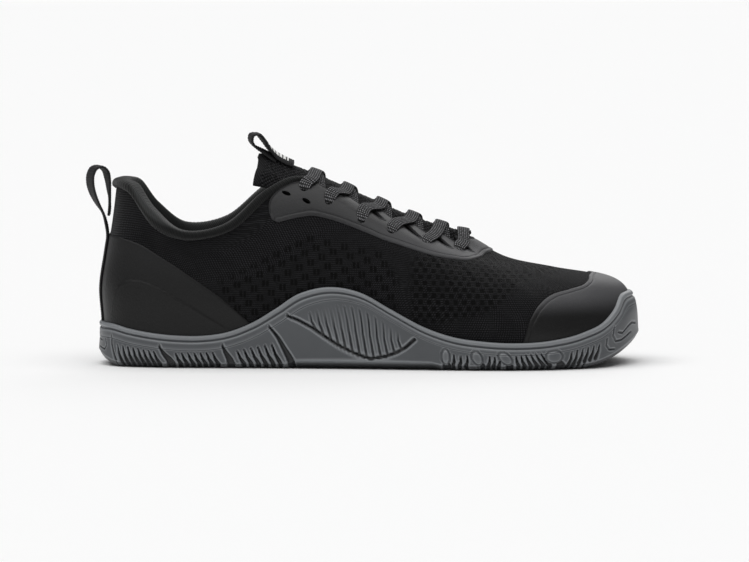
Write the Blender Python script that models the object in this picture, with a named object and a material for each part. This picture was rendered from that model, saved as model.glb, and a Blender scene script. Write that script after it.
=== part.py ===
"""A low training shoe of the barefoot kind, for the right foot, standing empty on its sole.

Metres. +X runs from heel to toe, +Z is up and the outer side of the foot is -Y. The origin is on
the floor, under the middle of the shoe. The last, the form that a shoe is made on, is one surface
last(q, t). q runs once round the shoe: 0 at the back of the heel, along the outer side to 1 at the
toe and along the inner side to 2 at the heel again. t rises from 0 at the sole to 1 at the rim of
the collar and throat. Upper, overlays, sole and insole are all worked out from that surface.
"""

from collections import namedtuple

import bpy
import numpy as np

MM = 0.001

LENGTH = 280.5 * MM
BALL_WIDTH = 104 * MM
HEEL_HEIGHT = 94 * MM
BACK_SHARE = 0.4903
GAP = 0.3 * MM

OUTSOLE_BASE = 4.7 * MM
SOLE_WALL = 3.5 * MM
UPPER_WALL = 1.8 * MM
COLLAR_PADDING = 3.0 * MM
INSOLE_THICKNESS = 3.6 * MM
OVERLAY = 0.8 * MM

TOE_SPRING = 4.6 * MM
SPRING_LENGTH = 34 * MM
SPRING_MEASURED_AT = 20 * MM

# Round the shoe: where the sole's outline runs, and the rim of collar and throat above it.
# Shares of LENGTH from the heel (along, rim_along), of BALL_WIDTH from the middle line (outer,
# inner, rim_half, rim_middle) and of HEEL_HEIGHT (rim_height).
Station = namedtuple("Station", "q along outer inner rim_along rim_half rim_middle rim_height")
STATIONS = (
    Station(0.000, 0.000, 0.000, 0.000, 0.0350, 0.000, 0.000, 1.000),
    Station(0.050, 0.010, -0.155, 0.155, 0.0378, 0.082, 0.000, 1.002),
    Station(0.100, 0.042, -0.262, 0.258, 0.0470, 0.159, 0.000, 1.000),
    Station(0.150, 0.095, -0.318, 0.312, 0.0663, 0.226, 0.000, 0.978),
    Station(0.220, 0.175, -0.345, 0.335, 0.1030, 0.284, 0.002, 0.852),
    Station(0.300, 0.270, -0.360, 0.325, 0.1620, 0.317, 0.005, 0.737),
    Station(0.380, 0.365, -0.380, 0.308, 0.2410, 0.308, 0.010, 0.777),
    Station(0.460, 0.460, -0.412, 0.315, 0.3130, 0.250, 0.018, 0.957),
    Station(0.540, 0.555, -0.452, 0.362, 0.3790, 0.188, 0.026, 1.022),
    Station(0.620, 0.650, -0.488, 0.435, 0.4710, 0.149, 0.034, 0.912),
    Station(0.700, 0.745, -0.505, 0.482, 0.5635, 0.125, 0.040, 0.790),
    Station(0.770, 0.825, -0.480, 0.492, 0.6225, 0.110, 0.044, 0.728),
    Station(0.830, 0.890, -0.405, 0.462, 0.6590, 0.091, 0.046, 0.699),
    Station(0.890, 0.945, -0.290, 0.395, 0.6796, 0.067, 0.047, 0.687),
    Station(0.945, 0.983, -0.115, 0.275, 0.6888, 0.036, 0.047, 0.682),
    Station(1.000, 1.000, 0.085, 0.085, 0.6915, 0.000, 0.047, 0.681),
)

# How the wall rises from the sole to the rim at four levels between them. rise_ is the share of the
# height, swell_ the share of BALL_WIDTH that the wall stands out from the straight line.
Profile = namedtuple("Profile", "q rise_1 rise_2 rise_3 rise_4 swell_1 swell_2 swell_3 swell_4")
PROFILES = (
    Profile(0.00, 0.20, 0.39, 0.59, 0.79, 0.008, 0.026, 0.019, 0.009),
    Profile(0.10, 0.20, 0.40, 0.60, 0.80, 0.010, 0.024, 0.018, 0.008),
    Profile(0.22, 0.21, 0.41, 0.61, 0.81, 0.008, 0.020, 0.016, 0.006),
    Profile(0.38, 0.23, 0.45, 0.66, 0.85, 0.004, 0.012, 0.012, 0.006),
    Profile(0.54, 0.26, 0.52, 0.76, 0.91, 0.007, 0.015, 0.021, 0.022),
    Profile(0.70, 0.25, 0.48, 0.72, 0.88, 0.024, 0.038, 0.042, 0.030),
    Profile(0.83, 0.27, 0.54, 0.71, 0.84, 0.028, 0.036, 0.020, 0.010),
    Profile(0.93, 0.32, 0.58, 0.70, 0.81, 0.029, 0.040, 0.006, 0.002),
    Profile(1.00, 0.35, 0.57, 0.69, 0.80, 0.024, 0.044, 0.000, 0.000),
)
LEVELS = (0.0, 0.2, 0.4, 0.6, 0.8, 1.0)
INWARD = (0.0, 0.04, 0.18, 0.48, 0.78, 1.0)

# Top edge of the sole's wall: shares of LENGTH from the heel, and heights as shares of WAVE_HEIGHT.
WAVE_HEIGHT = 42 * MM
Edge = namedtuple("Edge", "along height")
SOLE_EDGE = (
    Edge(0.000, 0.525), Edge(0.025, 0.520), Edge(0.055, 0.475), Edge(0.100, 0.425),
    Edge(0.150, 0.395), Edge(0.200, 0.397), Edge(0.240, 0.435), Edge(0.294, 0.560),
    Edge(0.345, 0.735), Edge(0.400, 0.930), Edge(0.450, 1.000), Edge(0.500, 0.930),
    Edge(0.545, 0.745), Edge(0.600, 0.535), Edge(0.650, 0.415), Edge(0.715, 0.350),
    Edge(0.780, 0.333), Edge(0.840, 0.360), Edge(0.900, 0.445), Edge(0.940, 0.560),
    Edge(0.965, 0.705), Edge(0.985, 0.860), Edge(1.000, 0.885),
)


def spline(knots, values, x):
    """A smooth curve through the values at the knots. values may hold one row for each x."""
    knots, values, x = np.asarray(knots, float), np.asarray(values, float), np.asarray(x, float)
    slopes = np.gradient(values, knots, axis=-1)
    i = np.clip(np.searchsorted(knots, x, side="right") - 1, 0, len(knots) - 2)
    step = knots[i + 1] - knots[i]
    s = np.clip((x - knots[i]) / step, 0, 1)
    if values.ndim == 2:
        rows = np.arange(len(values))
        a, b, da, db = values[rows, i], values[rows, i + 1], slopes[rows, i], slopes[rows, i + 1]
    else:
        a, b, da, db = values[i], values[i + 1], slopes[i], slopes[i + 1]
    blend = s * s * (3 - 2 * s)
    return a + (b - a) * blend + step * s * (1 - s) * (da * (1 - s) - db * s)


def ring(table, outer, inner, q):
    """A column of a table read round the shoe: outer for the outer side, inner for the inner one."""
    there = [(row.q, outer(row)) for row in table]
    back = [(2 - row.q, inner(row)) for row in reversed(table[1:-1])]
    once = there + back
    knots = [k + turn for turn in (-2, 0, 2) for k, _ in once]
    values = [v for _ in range(3) for _, v in once]
    return spline(knots, values, q)


def along_of(q):
    """Share of the length, from the heel, of the sole's outline at q."""
    return ring(STATIONS, lambda s: s.along, lambda s: s.along, q)


def x_of(along):
    return (along - BACK_SHARE) * LENGTH


def outline(q):
    """Points of the sole's outline, seen from above."""
    across = ring(STATIONS, lambda s: s.outer, lambda s: s.inner, q)
    return np.stack([x_of(along_of(q)), across * BALL_WIDTH], axis=-1)


def outward(q):
    """Level unit vectors that point straight out of the outline."""
    small = 1e-4
    run = outline(q + small) - outline(q - small)
    run /= np.linalg.norm(run, axis=-1, keepdims=True)
    return np.stack([run[..., 1], -run[..., 0]], axis=-1)


def rim(q):
    """Points of the rim of collar and throat."""
    along = ring(STATIONS, lambda s: s.rim_along, lambda s: s.rim_along, q)
    across = ring(
        STATIONS, lambda s: s.rim_middle - s.rim_half, lambda s: s.rim_middle + s.rim_half, q
    )
    height = ring(STATIONS, lambda s: s.rim_height, lambda s: s.rim_height, q)
    return np.stack([x_of(along), across * BALL_WIDTH, height * HEEL_HEIGHT], axis=-1)


def spring(x):
    """How far the tread stands off the floor at x: level, then rising under the toes."""
    past = np.clip(x - (x_of(1.0) - SPRING_LENGTH), 0, None)
    return TOE_SPRING * (past / SPRING_MEASURED_AT) ** 2


def feather(q):
    """The line where the upper's outer face meets the sole's inside."""
    flat = outline(q) - outward(q) * (SOLE_WALL + GAP)
    return np.concatenate([flat, (spring(flat[..., 0]) + OUTSOLE_BASE + GAP)[..., None]], axis=-1)


def profile_rows(q, names, first, final):
    columns = [
        ring(PROFILES, lambda p, n=n: getattr(p, n), lambda p, n=n: getattr(p, n), q)
        for n in names
    ]
    return np.stack([np.full(q.shape, first), *columns, np.full(q.shape, final)], axis=-1)


def last(q, t):
    """Points of the upper's outer surface."""
    q, t = np.broadcast_arrays(np.asarray(q, float), np.asarray(t, float))
    shape, q, t = q.shape, q.ravel(), t.ravel()
    foot, top = feather(q), rim(q)
    rise = spline(LEVELS, profile_rows(q, Profile._fields[1:5], 0, 1), t)
    swell = spline(LEVELS, profile_rows(q, Profile._fields[5:9], 0, 0), t)
    inward = spline(LEVELS, INWARD, t)
    points = np.empty((len(q), 3))
    points[:, :2] = foot[:, :2] + (top - foot)[:, :2] * inward[:, None]
    points[:, :2] += outward(q) * (swell * BALL_WIDTH)[:, None]
    points[:, 2] = foot[:, 2] + (top - foot)[:, 2] * rise
    return points.reshape(shape + (3,))


def normals(q, t):
    """Unit vectors straight out of the last's surface."""
    small = 1e-3
    low, high = np.clip(t - small, 0, 1), np.clip(t + small, 0, 1)
    out = np.cross(last(q + small, t) - last(q - small, t), last(q, high) - last(q, low))
    return out / np.linalg.norm(out, axis=-1, keepdims=True)


def level_at(q, height):
    """The t at which the last reaches a height."""
    low, high = np.zeros(np.shape(q)), np.full(np.shape(q), 0.9)
    for _ in range(24):
        middle = (low + high) / 2
        under = last(q, middle)[..., 2] < height
        low, high = np.where(under, middle, low), np.where(under, high, middle)
    return (low + high) / 2


def sole_top(along):
    return spline([e.along for e in SOLE_EDGE], [e.height for e in SOLE_EDGE], along) * WAVE_HEIGHT


def material(name, colour, roughness):
    made = bpy.data.materials.new(name)
    made.use_nodes = True
    shader = made.node_tree.nodes["Principled BSDF"]
    shader.inputs["Base Color"].default_value = (*colour, 1)
    shader.inputs["Roughness"].default_value = roughness
    shader.inputs["Metallic"].default_value = 0
    return made


def solid(name, points, faces, finish):
    """A new object of these corners and faces."""
    mesh = bpy.data.meshes.new(name)
    mesh.from_pydata([tuple(p) for p in points], [], [tuple(int(i) for i in f) for f in faces])
    mesh.materials.append(finish)
    made = bpy.data.objects.new(name, mesh)
    bpy.context.scene.collection.objects.link(made)
    mesh.shade_smooth()
    mesh.set_sharp_from_angle(angle=0.7)
    return made


def slab(name, outer, inner, finish, closed=False):
    """The solid between two like grids of points, outer one first. closed joins its ends."""
    count, rows = outer.shape[:2]
    points = np.concatenate([outer.reshape(-1, 3), inner.reshape(-1, 3)])
    other = count * rows
    faces = []
    for i in range(count if closed else count - 1):
        a, b = i * rows, (i + 1) % count * rows
        for j in range(rows - 1):
            faces.append((a + j, b + j, b + j + 1, a + j + 1))
            faces.append((other + a + j, other + a + j + 1, other + b + j + 1, other + b + j))
        faces.append((a, other + a, other + b, b))
        faces.append((a + rows - 1, b + rows - 1, other + b + rows - 1, other + a + rows - 1))
    if not closed:
        for a, turn in ((0, 1), ((count - 1) * rows, -1)):
            for j in range(rows - 1):
                faces.append((a + j, a + j + 1, other + a + j + 1, other + a + j)[::turn])
    return solid(name, points, faces, finish)


def cut(target, cutter, operation="DIFFERENCE"):
    """Cuts one object out of another, or joins it on, and leaves the cutter out of the part."""
    cutter.hide_render = True
    cutter.display_type = "WIRE"
    made = target.modifiers.new(operation.title(), "BOOLEAN")
    made.operation = operation
    made.object = cutter
    made.solver = "EXACT"
    return made


# Knitted upper: one hollow wall, open at the sole, the collar and the throat. Padded at the collar.
UPPER_COLUMNS = 64
UPPER_LEVELS = (0, 0.1, 0.2, 0.3, 0.4, 0.52, 0.65, 0.78, 0.9, 1)
PADDING_FROM = 0.62
PADDING_ENDS_AT = 0.56


def wall(q, t):
    """Thickness of the upper."""
    from_heel = np.minimum(np.abs(q), np.abs(2 - q))
    beside = np.clip((PADDING_ENDS_AT - from_heel) / 0.1, 0, 1)
    return UPPER_WALL + COLLAR_PADDING * beside * np.clip((t - PADDING_FROM) / (1 - PADDING_FROM), 0, 1)


def upper(finish):
    q = (np.arange(UPPER_COLUMNS) * 2 / UPPER_COLUMNS)[:, None]
    q, t = np.broadcast_arrays(q, np.array(UPPER_LEVELS, float))
    outer = last(q, t)
    inner = outer - normals(q, t) * wall(q, t)[..., None]
    return slab("upper", outer, inner, finish, closed=True)


# Moulded rubber outsole: a cup with a beaded rim, a band under it and ribs in groups. Ribs lists
# where each group runs, as shares of LENGTH from the heel.
SOLE_COLUMNS = 112
RIM_WALL = 1.8 * MM
SEAT = 0.55 * MM
RIB_DEPTH = 0.9 * MM
RIB_LEAN = 0.5
BEAD_CREST = 1.4 * MM
BEAD_FOOT = 2.8 * MM
BAND_TOP = 3.5 * MM
BAND_FOOT = 5.8 * MM
RIBS_FROM = 6.5 * MM
BEVEL = 2.8 * MM
FLAT_FROM = 5.5 * MM
Ribs = namedtuple("Ribs", "start end")
RIBS = (
    Ribs(0.034, 0.119), Ribs(0.142, 0.234), Ribs(0.247, 0.326), Ribs(0.388, 0.558),
    Ribs(0.650, 0.687), Ribs(0.706, 0.737), Ribs(0.766, 0.825), Ribs(0.853, 0.926),
)
PANEL_EDGE = (
    Edge(0.000, 0.300), Edge(0.040, 0.190), Edge(0.080, 0.130), Edge(0.200, 0.120),
    Edge(0.300, 0.130), Edge(0.345, 0.330), Edge(0.375, 0.545), Edge(0.420, 0.360),
    Edge(0.495, 0.150), Edge(0.540, 0.200), Edge(0.575, 0.330), Edge(0.610, 0.180),
    Edge(0.680, 0.110), Edge(0.780, 0.105), Edge(0.860, 0.150), Edge(0.920, 0.270),
    Edge(0.965, 0.420), Edge(1.000, 0.520),
)
LUG_DEPTH = 1.1 * MM
LUG_EVERY = 4
LUG_BOW = 6 * MM
HEEL_BEVEL = 11 * MM
HEEL_LIFT = 3.8 * MM


def panel_low(along):
    """Lower edge of the ribbed panel."""
    return spline([p.along for p in PANEL_EDGE], [p.height for p in PANEL_EDGE], along) * WAVE_HEIGHT


def tread_height(x):
    """Underside of the sole: the floor, the toe spring, and a round-off at the back of the heel."""
    past = np.clip(x_of(0) + HEEL_BEVEL + 2 * MM - x, 0, None)
    return spring(x) + HEEL_LIFT * (past / HEEL_BEVEL) ** 2


def sole_wall(q, height, extra):
    """Points of the outsole's outer face at a height, extra beyond its plain wall."""
    floor, top = feather(q)[:, 2], sole_top(along_of(q))
    share = np.clip((height - floor) / (top - floor), 0, 1)
    thick = GAP + SOLE_WALL + (RIM_WALL - SOLE_WALL) * share
    return sole_face(q, height, thick + extra)


def sole_face(q, height, stand_off):
    """Points at a height that stand off the last, straight out."""
    points = last(q, level_at(q, height))
    points[:, :2] += outward(q) * np.broadcast_to(stand_off, q.shape)[:, None]
    points[:, 2] = height
    return points


def sole_edge(q, inset, above):
    """Points near the lower edge of the sole, inset from its outline and above the tread."""
    flat = outline(q) - outward(q) * inset
    height = tread_height(flat[:, 0]) + above
    return np.concatenate([flat, height[:, None]], axis=-1)


def outsole(finish):
    q = np.arange(SOLE_COLUMNS) * 2 / SOLE_COLUMNS
    fine = np.arange(2 * SOLE_COLUMNS) / SOLE_COLUMNS
    top, fine_top = sole_top(along_of(q)), sole_top(along_of(fine))
    floor = feather(q)[:, 2] - GAP
    low = panel_low(along_of(fine))
    in_group = sum((along_of(fine) > r.start) & (along_of(fine) < r.end) for r in RIBS)
    rib = np.where((np.arange(len(fine)) % 2 == 1) & (in_group > 0), -RIB_DEPTH, 0)
    lean = fine - RIB_LEAN * (fine_top - low) * np.sin(np.pi * fine)
    notch = np.where(np.arange(len(q)) % LUG_EVERY == 0, LUG_DEPTH, 0)
    rows = [
        sole_face(q, floor, SEAT),
        sole_face(q, floor + (top - floor) * 0.3, SEAT),
        sole_face(q, floor + (top - floor) * 0.6, SEAT),
        sole_face(q, top - 0.7 * MM, SEAT),
        sole_face(q, top, GAP + 0.8 * MM),
        sole_wall(q, top - BEAD_CREST, 0.5 * MM),
        sole_wall(q, top - BEAD_FOOT, -0.4 * MM),
        sole_wall(q, top - BAND_TOP, 0.2 * MM),
        sole_wall(q, top - BAND_FOOT, 0.3 * MM),
        sole_wall(lean, fine_top - RIBS_FROM, -0.2 * MM + rib),
        sole_wall(fine, low, -0.2 * MM + rib),
        sole_edge(q, 0.36 * BEVEL, BEVEL),
        sole_edge(q, 0.86 * BEVEL, 0.36 * BEVEL + notch * 0.6),
        sole_edge(q, FLAT_FROM, notch),
    ]
    points = [p for row in rows for p in row]
    starts = np.cumsum([0] + [len(row) for row in rows])
    faces = []
    for here, below, start, following in zip(rows, rows[1:], starts, starts[1:]):
        faces += strip(start, len(here), following, len(below))
    half = SOLE_COLUMNS // 2
    for i in range(half):
        j = (SOLE_COLUMNS - i) % SOLE_COLUMNS
        faces.append(list(dict.fromkeys((i, i + 1, SOLE_COLUMNS - i - 1, j))))
    tread(points, faces, starts[-2], notch)
    return solid("outsole", points, faces, finish)


def strip(start, count, following, others):
    """Faces between two rings of corners, the upper one first, one of them perhaps twice as fine."""
    faces = []
    for i in range(min(count, others)):
        k = (i + 1) % min(count, others)
        if count == others:
            faces.append((start + i, following + i, following + k, start + k))
        elif others > count:
            a, b, c = following + 2 * i, following + 2 * i + 1, following + (2 * i + 2) % others
            faces += [(start + i, a, b), (start + i, b, start + k), (start + k, b, c)]
        else:
            a, b, c = start + 2 * i, start + 2 * i + 1, start + (2 * i + 2) % count
            faces += [(a, following + i, b), (b, following + i, following + k), (b, following + k, c)]
    return faces


def tread(points, faces, start, notch):
    """Closes the underside between the two sides, with lugs in bowed bars across it."""
    shares = (0.12, 0.36, 0.64, 0.88)
    half = SOLE_COLUMNS // 2
    lines = [[start]]
    for i in range(1, half):
        near, far = start + i, start + SOLE_COLUMNS - i
        a, b = np.array(points[near]), np.array(points[far])
        bow = LUG_BOW * min(1, i / 12, (half - i) / 12)
        line = [near]
        for share in shares:
            p = a + (b - a) * share
            p[0] += bow * 4 * share * (1 - share)
            p[2] = tread_height(p[0]) + notch[i]
            line.append(len(points))
            points.append(p)
        lines.append(line + [far])
    lines.append([start + half])
    for here, ahead in zip(lines, lines[1:]):
        if len(here) == 1:
            faces += [(here[0], ahead[j + 1], ahead[j]) for j in range(len(ahead) - 1)]
        elif len(ahead) == 1:
            faces += [(here[j], here[j + 1], ahead[0]) for j in range(len(here) - 1)]
        else:
            faces += [(here[j], here[j + 1], ahead[j + 1], ahead[j]) for j in range(len(here) - 1)]


# Insole: a thin foam sheet on the outsole's floor.
INSOLE_COLUMNS = 20


def insole(finish):
    q = np.linspace(0.03, 0.97, INSOLE_COLUMNS)
    inset = SOLE_WALL + UPPER_WALL + 3 * GAP
    near = outline(q) - outward(q) * inset
    far = outline(2 - q) - outward(2 - q) * inset
    share = np.array([0, 0.1, 0.5, 0.9, 1])[None, :, None]
    flat = near[:, None] + (far - near)[:, None] * share
    bottom = spring(flat[..., 0]) + OUTSOLE_BASE + GAP
    edge = np.array([0.7, 0, 0, 0, 0.7]) * MM
    under = np.concatenate([flat, bottom[..., None]], axis=-1)
    over = np.concatenate([flat, (bottom + INSOLE_THICKNESS + edge)[..., None]], axis=-1)
    return slab("insole", over, under, finish)


# Films of moulded plastic on the upper. Reach is how far up the last the film's edge lies at q.
Reach = namedtuple("Reach", "q t")
TOE_CAP_TOP = (
    Reach(0.745, 0.195), Reach(0.765, 0.297), Reach(0.790, 0.370), Reach(0.820, 0.413),
    Reach(0.858, 0.427), Reach(0.893, 0.428), Reach(0.922, 0.447), Reach(0.948, 0.470),
    Reach(1.000, 0.485),
)
COUNTER_TOP = (
    Reach(0.000, 0.712), Reach(0.025, 0.707), Reach(0.092, 0.690), Reach(0.143, 0.670),
    Reach(0.182, 0.660), Reach(0.217, 0.643), Reach(0.245, 0.600), Reach(0.268, 0.537),
    Reach(0.285, 0.460), Reach(0.298, 0.370), Reach(0.306, 0.310),
)
EYESTAY_LOW = (
    Reach(0.442, 0.820), Reach(0.446, 0.775), Reach(0.455, 0.748), Reach(0.473, 0.723),
    Reach(0.492, 0.693), Reach(0.512, 0.637), Reach(0.537, 0.577), Reach(0.568, 0.543),
    Reach(0.605, 0.553), Reach(0.660, 0.580), Reach(0.703, 0.620), Reach(0.730, 0.643),
    Reach(0.787, 0.737), Reach(0.875, 0.853), Reach(0.940, 0.875), Reach(1.000, 0.880),
)
EYESTAY_TOP = (
    Reach(0.442, 0.860), Reach(0.448, 0.900), Reach(0.460, 0.925), Reach(0.490, 0.940),
    Reach(0.540, 0.950), Reach(0.570, 0.980), Reach(0.640, 0.985), Reach(1.000, 0.985),
)
# An eyelet at q, t, and the q of the rim straight above it.
Eyelet = namedtuple("Eyelet", "q t rim")
EYELETS = (
    Eyelet(0.520, 0.885, 0.549), Eyelet(0.537, 0.750, 0.598), Eyelet(0.562, 0.633, 0.650),
    Eyelet(0.610, 0.643, 0.702), Eyelet(0.680, 0.717, 0.767), Eyelet(0.765, 0.797, 0.835),
)
SPARE_EYELETS = (Reach(0.485, 0.895), Reach(0.503, 0.787))
EYELET_RADIUS = 2.2 * MM
PUNCH_DEPTH = 4 * MM
FILM_GAP = 0.55 * MM


def reach(table, q):
    return spline([r.q for r in table], [r.t for r in table], np.where(q > 1, 2 - q, np.abs(q)))


def above_sole(q):
    return level_at(q, sole_top(along_of(q)) + 3 * GAP)


def film(name, q, low, high, rows, finish):
    share = np.linspace(0, 1, rows)
    t = low[:, None] + (high - low)[:, None] * share
    q = np.broadcast_to(q[:, None], t.shape)
    base, out = last(q, t), normals(q, t)
    return slab(name, base + out * (FILM_GAP + OVERLAY), base + out * FILM_GAP, finish)


def toe_cap(finish):
    q = np.linspace(0.745, 1.255, 23)
    return film("toe_cap", q, above_sole(q), reach(TOE_CAP_TOP, q), 5, finish)


def heel_counter(finish):
    q = np.linspace(-0.306, 0.306, 21)
    return film("heel_counter", q, above_sole(q), reach(COUNTER_TOP, q), 4, finish)


def eyestay(finish):
    rear = (0.442, 0.450, 0.469)
    middle = np.arange(16, UPPER_COLUMNS - 15) * 2 / UPPER_COLUMNS
    q = np.concatenate([rear, middle, 2 - np.array(rear[::-1])])
    return film("eyestay", q, reach(EYESTAY_LOW, q), reach(EYESTAY_TOP, q), 5, finish)


# Cuff: ribbed lining knit, folded over the collar from the outside to the inside.
CUFF_LOW = (
    Reach(0.000, 0.965), Reach(0.100, 0.970), Reach(0.140, 0.950), Reach(0.170, 0.905),
    Reach(0.200, 0.870), Reach(0.233, 0.870), Reach(0.285, 0.925), Reach(0.320, 0.948),
    Reach(0.405, 0.955), Reach(0.450, 0.957), Reach(0.500, 0.962), Reach(0.545, 0.970),
)
CUFF_THICKNESS = 1.2 * MM
CUFF_SLACK = 0.1 * MM
CUFF_INSIDE = 0.80
CUFF_END = 0.5


def collar_cuff(finish):
    each_side = int(CUFF_END * UPPER_COLUMNS / 2)
    q = np.arange(-each_side, each_side + 1) * 2 / UPPER_COLUMNS
    low = reach(CUFF_LOW, q)
    ends = np.full(len(q), 1.0)
    out = normals(q, ends * 0.97)
    up = last(q, ends) - last(q, ends * 0.97)
    up /= np.linalg.norm(up, axis=-1, keepdims=True)
    top = last(q, ends)
    deep = wall(q, ends)[:, None]

    inside = CUFF_INSIDE + 0.13 * (np.abs(q) / CUFF_END) ** 6
    half_way = (inside + 1) / 2

    def sheet(off):
        return np.stack([
            last(q, low) + normals(q, low) * (CUFF_SLACK + off),
            last(q, (low + 1) / 2) + out * (3 * CUFF_SLACK + off),
            top + out * (CUFF_SLACK + off * 0.8) + up * off * 0.6,
            top - out * deep / 2 + up * (2 * CUFF_SLACK + off),
            top - out * (deep + CUFF_SLACK + off * 0.8) + up * off * 0.6,
            last(q, half_way) - out * (wall(q, half_way)[:, None] + 2 * CUFF_SLACK + off),
            last(q, inside) - normals(q, inside) * (wall(q, inside)[:, None] + CUFF_SLACK + off),
        ], axis=1)

    return slab("collar_cuff", sheet(SEAT + CUFF_THICKNESS), sheet(SEAT), finish)


# Tongue: a padded sheet that fills the throat, with wings under the upper and a free upper end.
CROWN = 3.0 * MM
TONGUE_THICKNESS = 3.4 * MM
TONGUE_EDGE = 1.6 * MM
FREE_FROM = 0.57
FREE_LENGTH = 32 * MM
FREE_RISE = 12.5 * MM
FREE_TAPER = 0.36
FREE_DROP = 9.5 * MM


def eyelet_line(q):
    """Where the line of eyelets lies on the last, below the rim at q."""
    rims = [e.rim for e in EYELETS]
    return spline(rims, [e.q for e in EYELETS], q), spline(rims, [e.t for e in EYELETS], q)


def throat(q, s):
    """A surface over the throat: s runs from the outer eyelets, 0, over the tongue to the inner."""
    q, s = np.broadcast_arrays(np.asarray(q, float), np.asarray(s, float))
    shape, q, s = q.shape, q.ravel(), s.ravel()
    low_q, low_t = eyelet_line(q)
    side = [(low_q, low_t), ((low_q + q) / 2, (low_t + 1) / 2), (q, np.ones(len(q)))]
    near = [last(a, t) for a, t in side]
    far = [last(2 - a, t) for a, t in reversed(side)]
    middle = (near[2] + far[0]) / 2 + np.array([0, 0, CROWN])
    across = np.stack(near + [middle] + far, axis=1)
    knots = (0, 0.15, 0.3, 0.5, 0.7, 0.85, 1)
    points = [spline(knots, across[:, :, axis], s) for axis in range(3)]
    return np.stack(points, axis=-1).reshape(shape + (3,))


def throat_normals(q, s):
    small = 2e-3
    along = throat(q + small, s) - throat(q - small, s)
    across = throat(q, np.clip(s + small, 0, 1)) - throat(q, np.clip(s - small, 0, 1))
    out = np.cross(along, across)
    return out / np.linalg.norm(out, axis=-1, keepdims=True)


def sheet_normals(points):
    """Unit vectors out of a grid of points."""
    out = np.cross(np.gradient(points, axis=0), np.gradient(points, axis=1))
    return out / np.linalg.norm(out, axis=-1, keepdims=True)


def tongue_face():
    """Grid of points of the tongue's outer face, from its free end to the toe."""
    q = np.array([FREE_FROM, 0.60, 0.64, 0.69, 0.74, 0.79, 0.84, 0.89, 0.935])[:, None]
    s = np.array([0.10, 0.2, 0.28, 0.39, 0.5, 0.61, 0.72, 0.8, 0.90])
    q, s = np.broadcast_arrays(q, s)
    t = 1 - (1 - eyelet_line(q)[1]) * (0.3 - np.minimum(s, 1 - s)).clip(0) / 0.3
    under = wall(q, t) + 2 * GAP
    centre = np.clip((0.18 - np.abs(s - 0.5)) / 0.12, 0, 1) * np.clip((0.93 - q) / 0.06, 0, 1)
    laid = throat(q, s) - throat_normals(q, s) * (under * (1 - centre))[..., None]
    free = []
    for share in (1, 0.75, 0.5, 0.25):
        row = laid[0] + np.array([-FREE_LENGTH, 0, FREE_RISE]) * share
        row[:, 1] = row[:, 1].mean() + (row[:, 1] - row[:, 1].mean()) * (1 - FREE_TAPER * share**0.5)
        row[:, 2] -= FREE_DROP * share**0.7 * np.linspace(-1, 1, len(row)) ** 2
        free.append(row)
    return np.concatenate([free, laid])


def tongue(finish):
    face = tongue_face()
    middle = np.sin(np.linspace(0, np.pi, face.shape[1]))
    thick = TONGUE_EDGE + (TONGUE_THICKNESS - TONGUE_EDGE) * middle
    return slab("tongue", face, face - sheet_normals(face) * thick[:, None], finish)


# Pull loops: flat woven tape. x and z are a path in millimetres, from the top of the heel's seam or
# from the tongue's free end. bow is how far the tape's edges lie toward the toe, or below. twist is
# how far the tape turns about the vertical, in radians.
TAPE = 1.2 * MM
Tape = namedtuple("Tape", "x z bow twist")
HEEL_LOOP = (
    Tape(-0.3, 5.1, 0.4, 0.0), Tape(-1.4, 9.1, 0.3, 0.06), Tape(-4.2, 14.1, 0.1, 0.20),
    Tape(-6.7, 19.6, 0, 0.30), Tape(-8.0, 25.1, 0, 0.34), Tape(-7.7, 29.6, 0, 0.34),
    Tape(-5.9, 32.8, 0, 0.34), Tape(-3.0, 33.6, 0, 0.34), Tape(-0.3, 31.6, 0, 0.32),
    Tape(1.0, 27.1, 0, 0.26), Tape(1.6, 21.6, 0, 0.16), Tape(1.9, 16.1, 0.3, 0.05),
    Tape(1.8, 12.1, 0.4, 0.0), Tape(1.4, 8.3, 0.4, 0.0),
)
HEEL_LOOP_WIDTH = 12 * MM
SEAM_TOP = 0.72
TONGUE_LOOP = (
    Tape(17.8, -4.7, -2.4, 0.0), Tape(13.3, -2.6, -2.8, 0.0), Tape(8.8, -0.1, -2.8, 0.05),
    Tape(5.1, 3.2, -2.2, 0.12), Tape(2.3, 6.8, -1.2, 0.18), Tape(-1.1, 9.7, -0.4, 0.2),
    Tape(-3.9, 8.9, 0, 0.18), Tape(-4.4, 6.0, 0, 0.15), Tape(-2.6, 3.5, -0.4, 0.1),
    Tape(0.6, 1.9, -1.4, 0.05), Tape(4.2, 0.2, -2.2, 0.0), Tape(8.6, -2.1, -2.8, 0.0),
)
TONGUE_LOOP_WIDTH = 15 * MM


def tape(name, path, width, start, finish):
    """A band of tape along a path that begins at the point start."""
    path = np.array(path, float) * MM
    run = np.gradient(path[:, [0, 1]], axis=0)
    out = np.stack([-run[:, 1], 0 * run[:, 0], run[:, 0]], axis=-1)
    out *= TAPE / 2 / np.linalg.norm(out, axis=-1, keepdims=True)
    bow = path[:, [2]] * np.array([1, 0, 1])
    across = np.array([-0.5, 0, 0.5]) * width
    twist = path[:, [3]] / MM
    middle = np.zeros((len(path), 3, 3))
    middle[:, :, 0] = start[0] + path[:, [0]] + bow.clip(min=0) - across * np.sin(twist)
    middle[:, :, 1] = start[1] + across * np.cos(twist)
    middle[:, :, 2] = start[2] + path[:, [1]] + bow.clip(max=0)
    return slab(name, middle + out[:, None], middle - out[:, None], finish)


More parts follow.
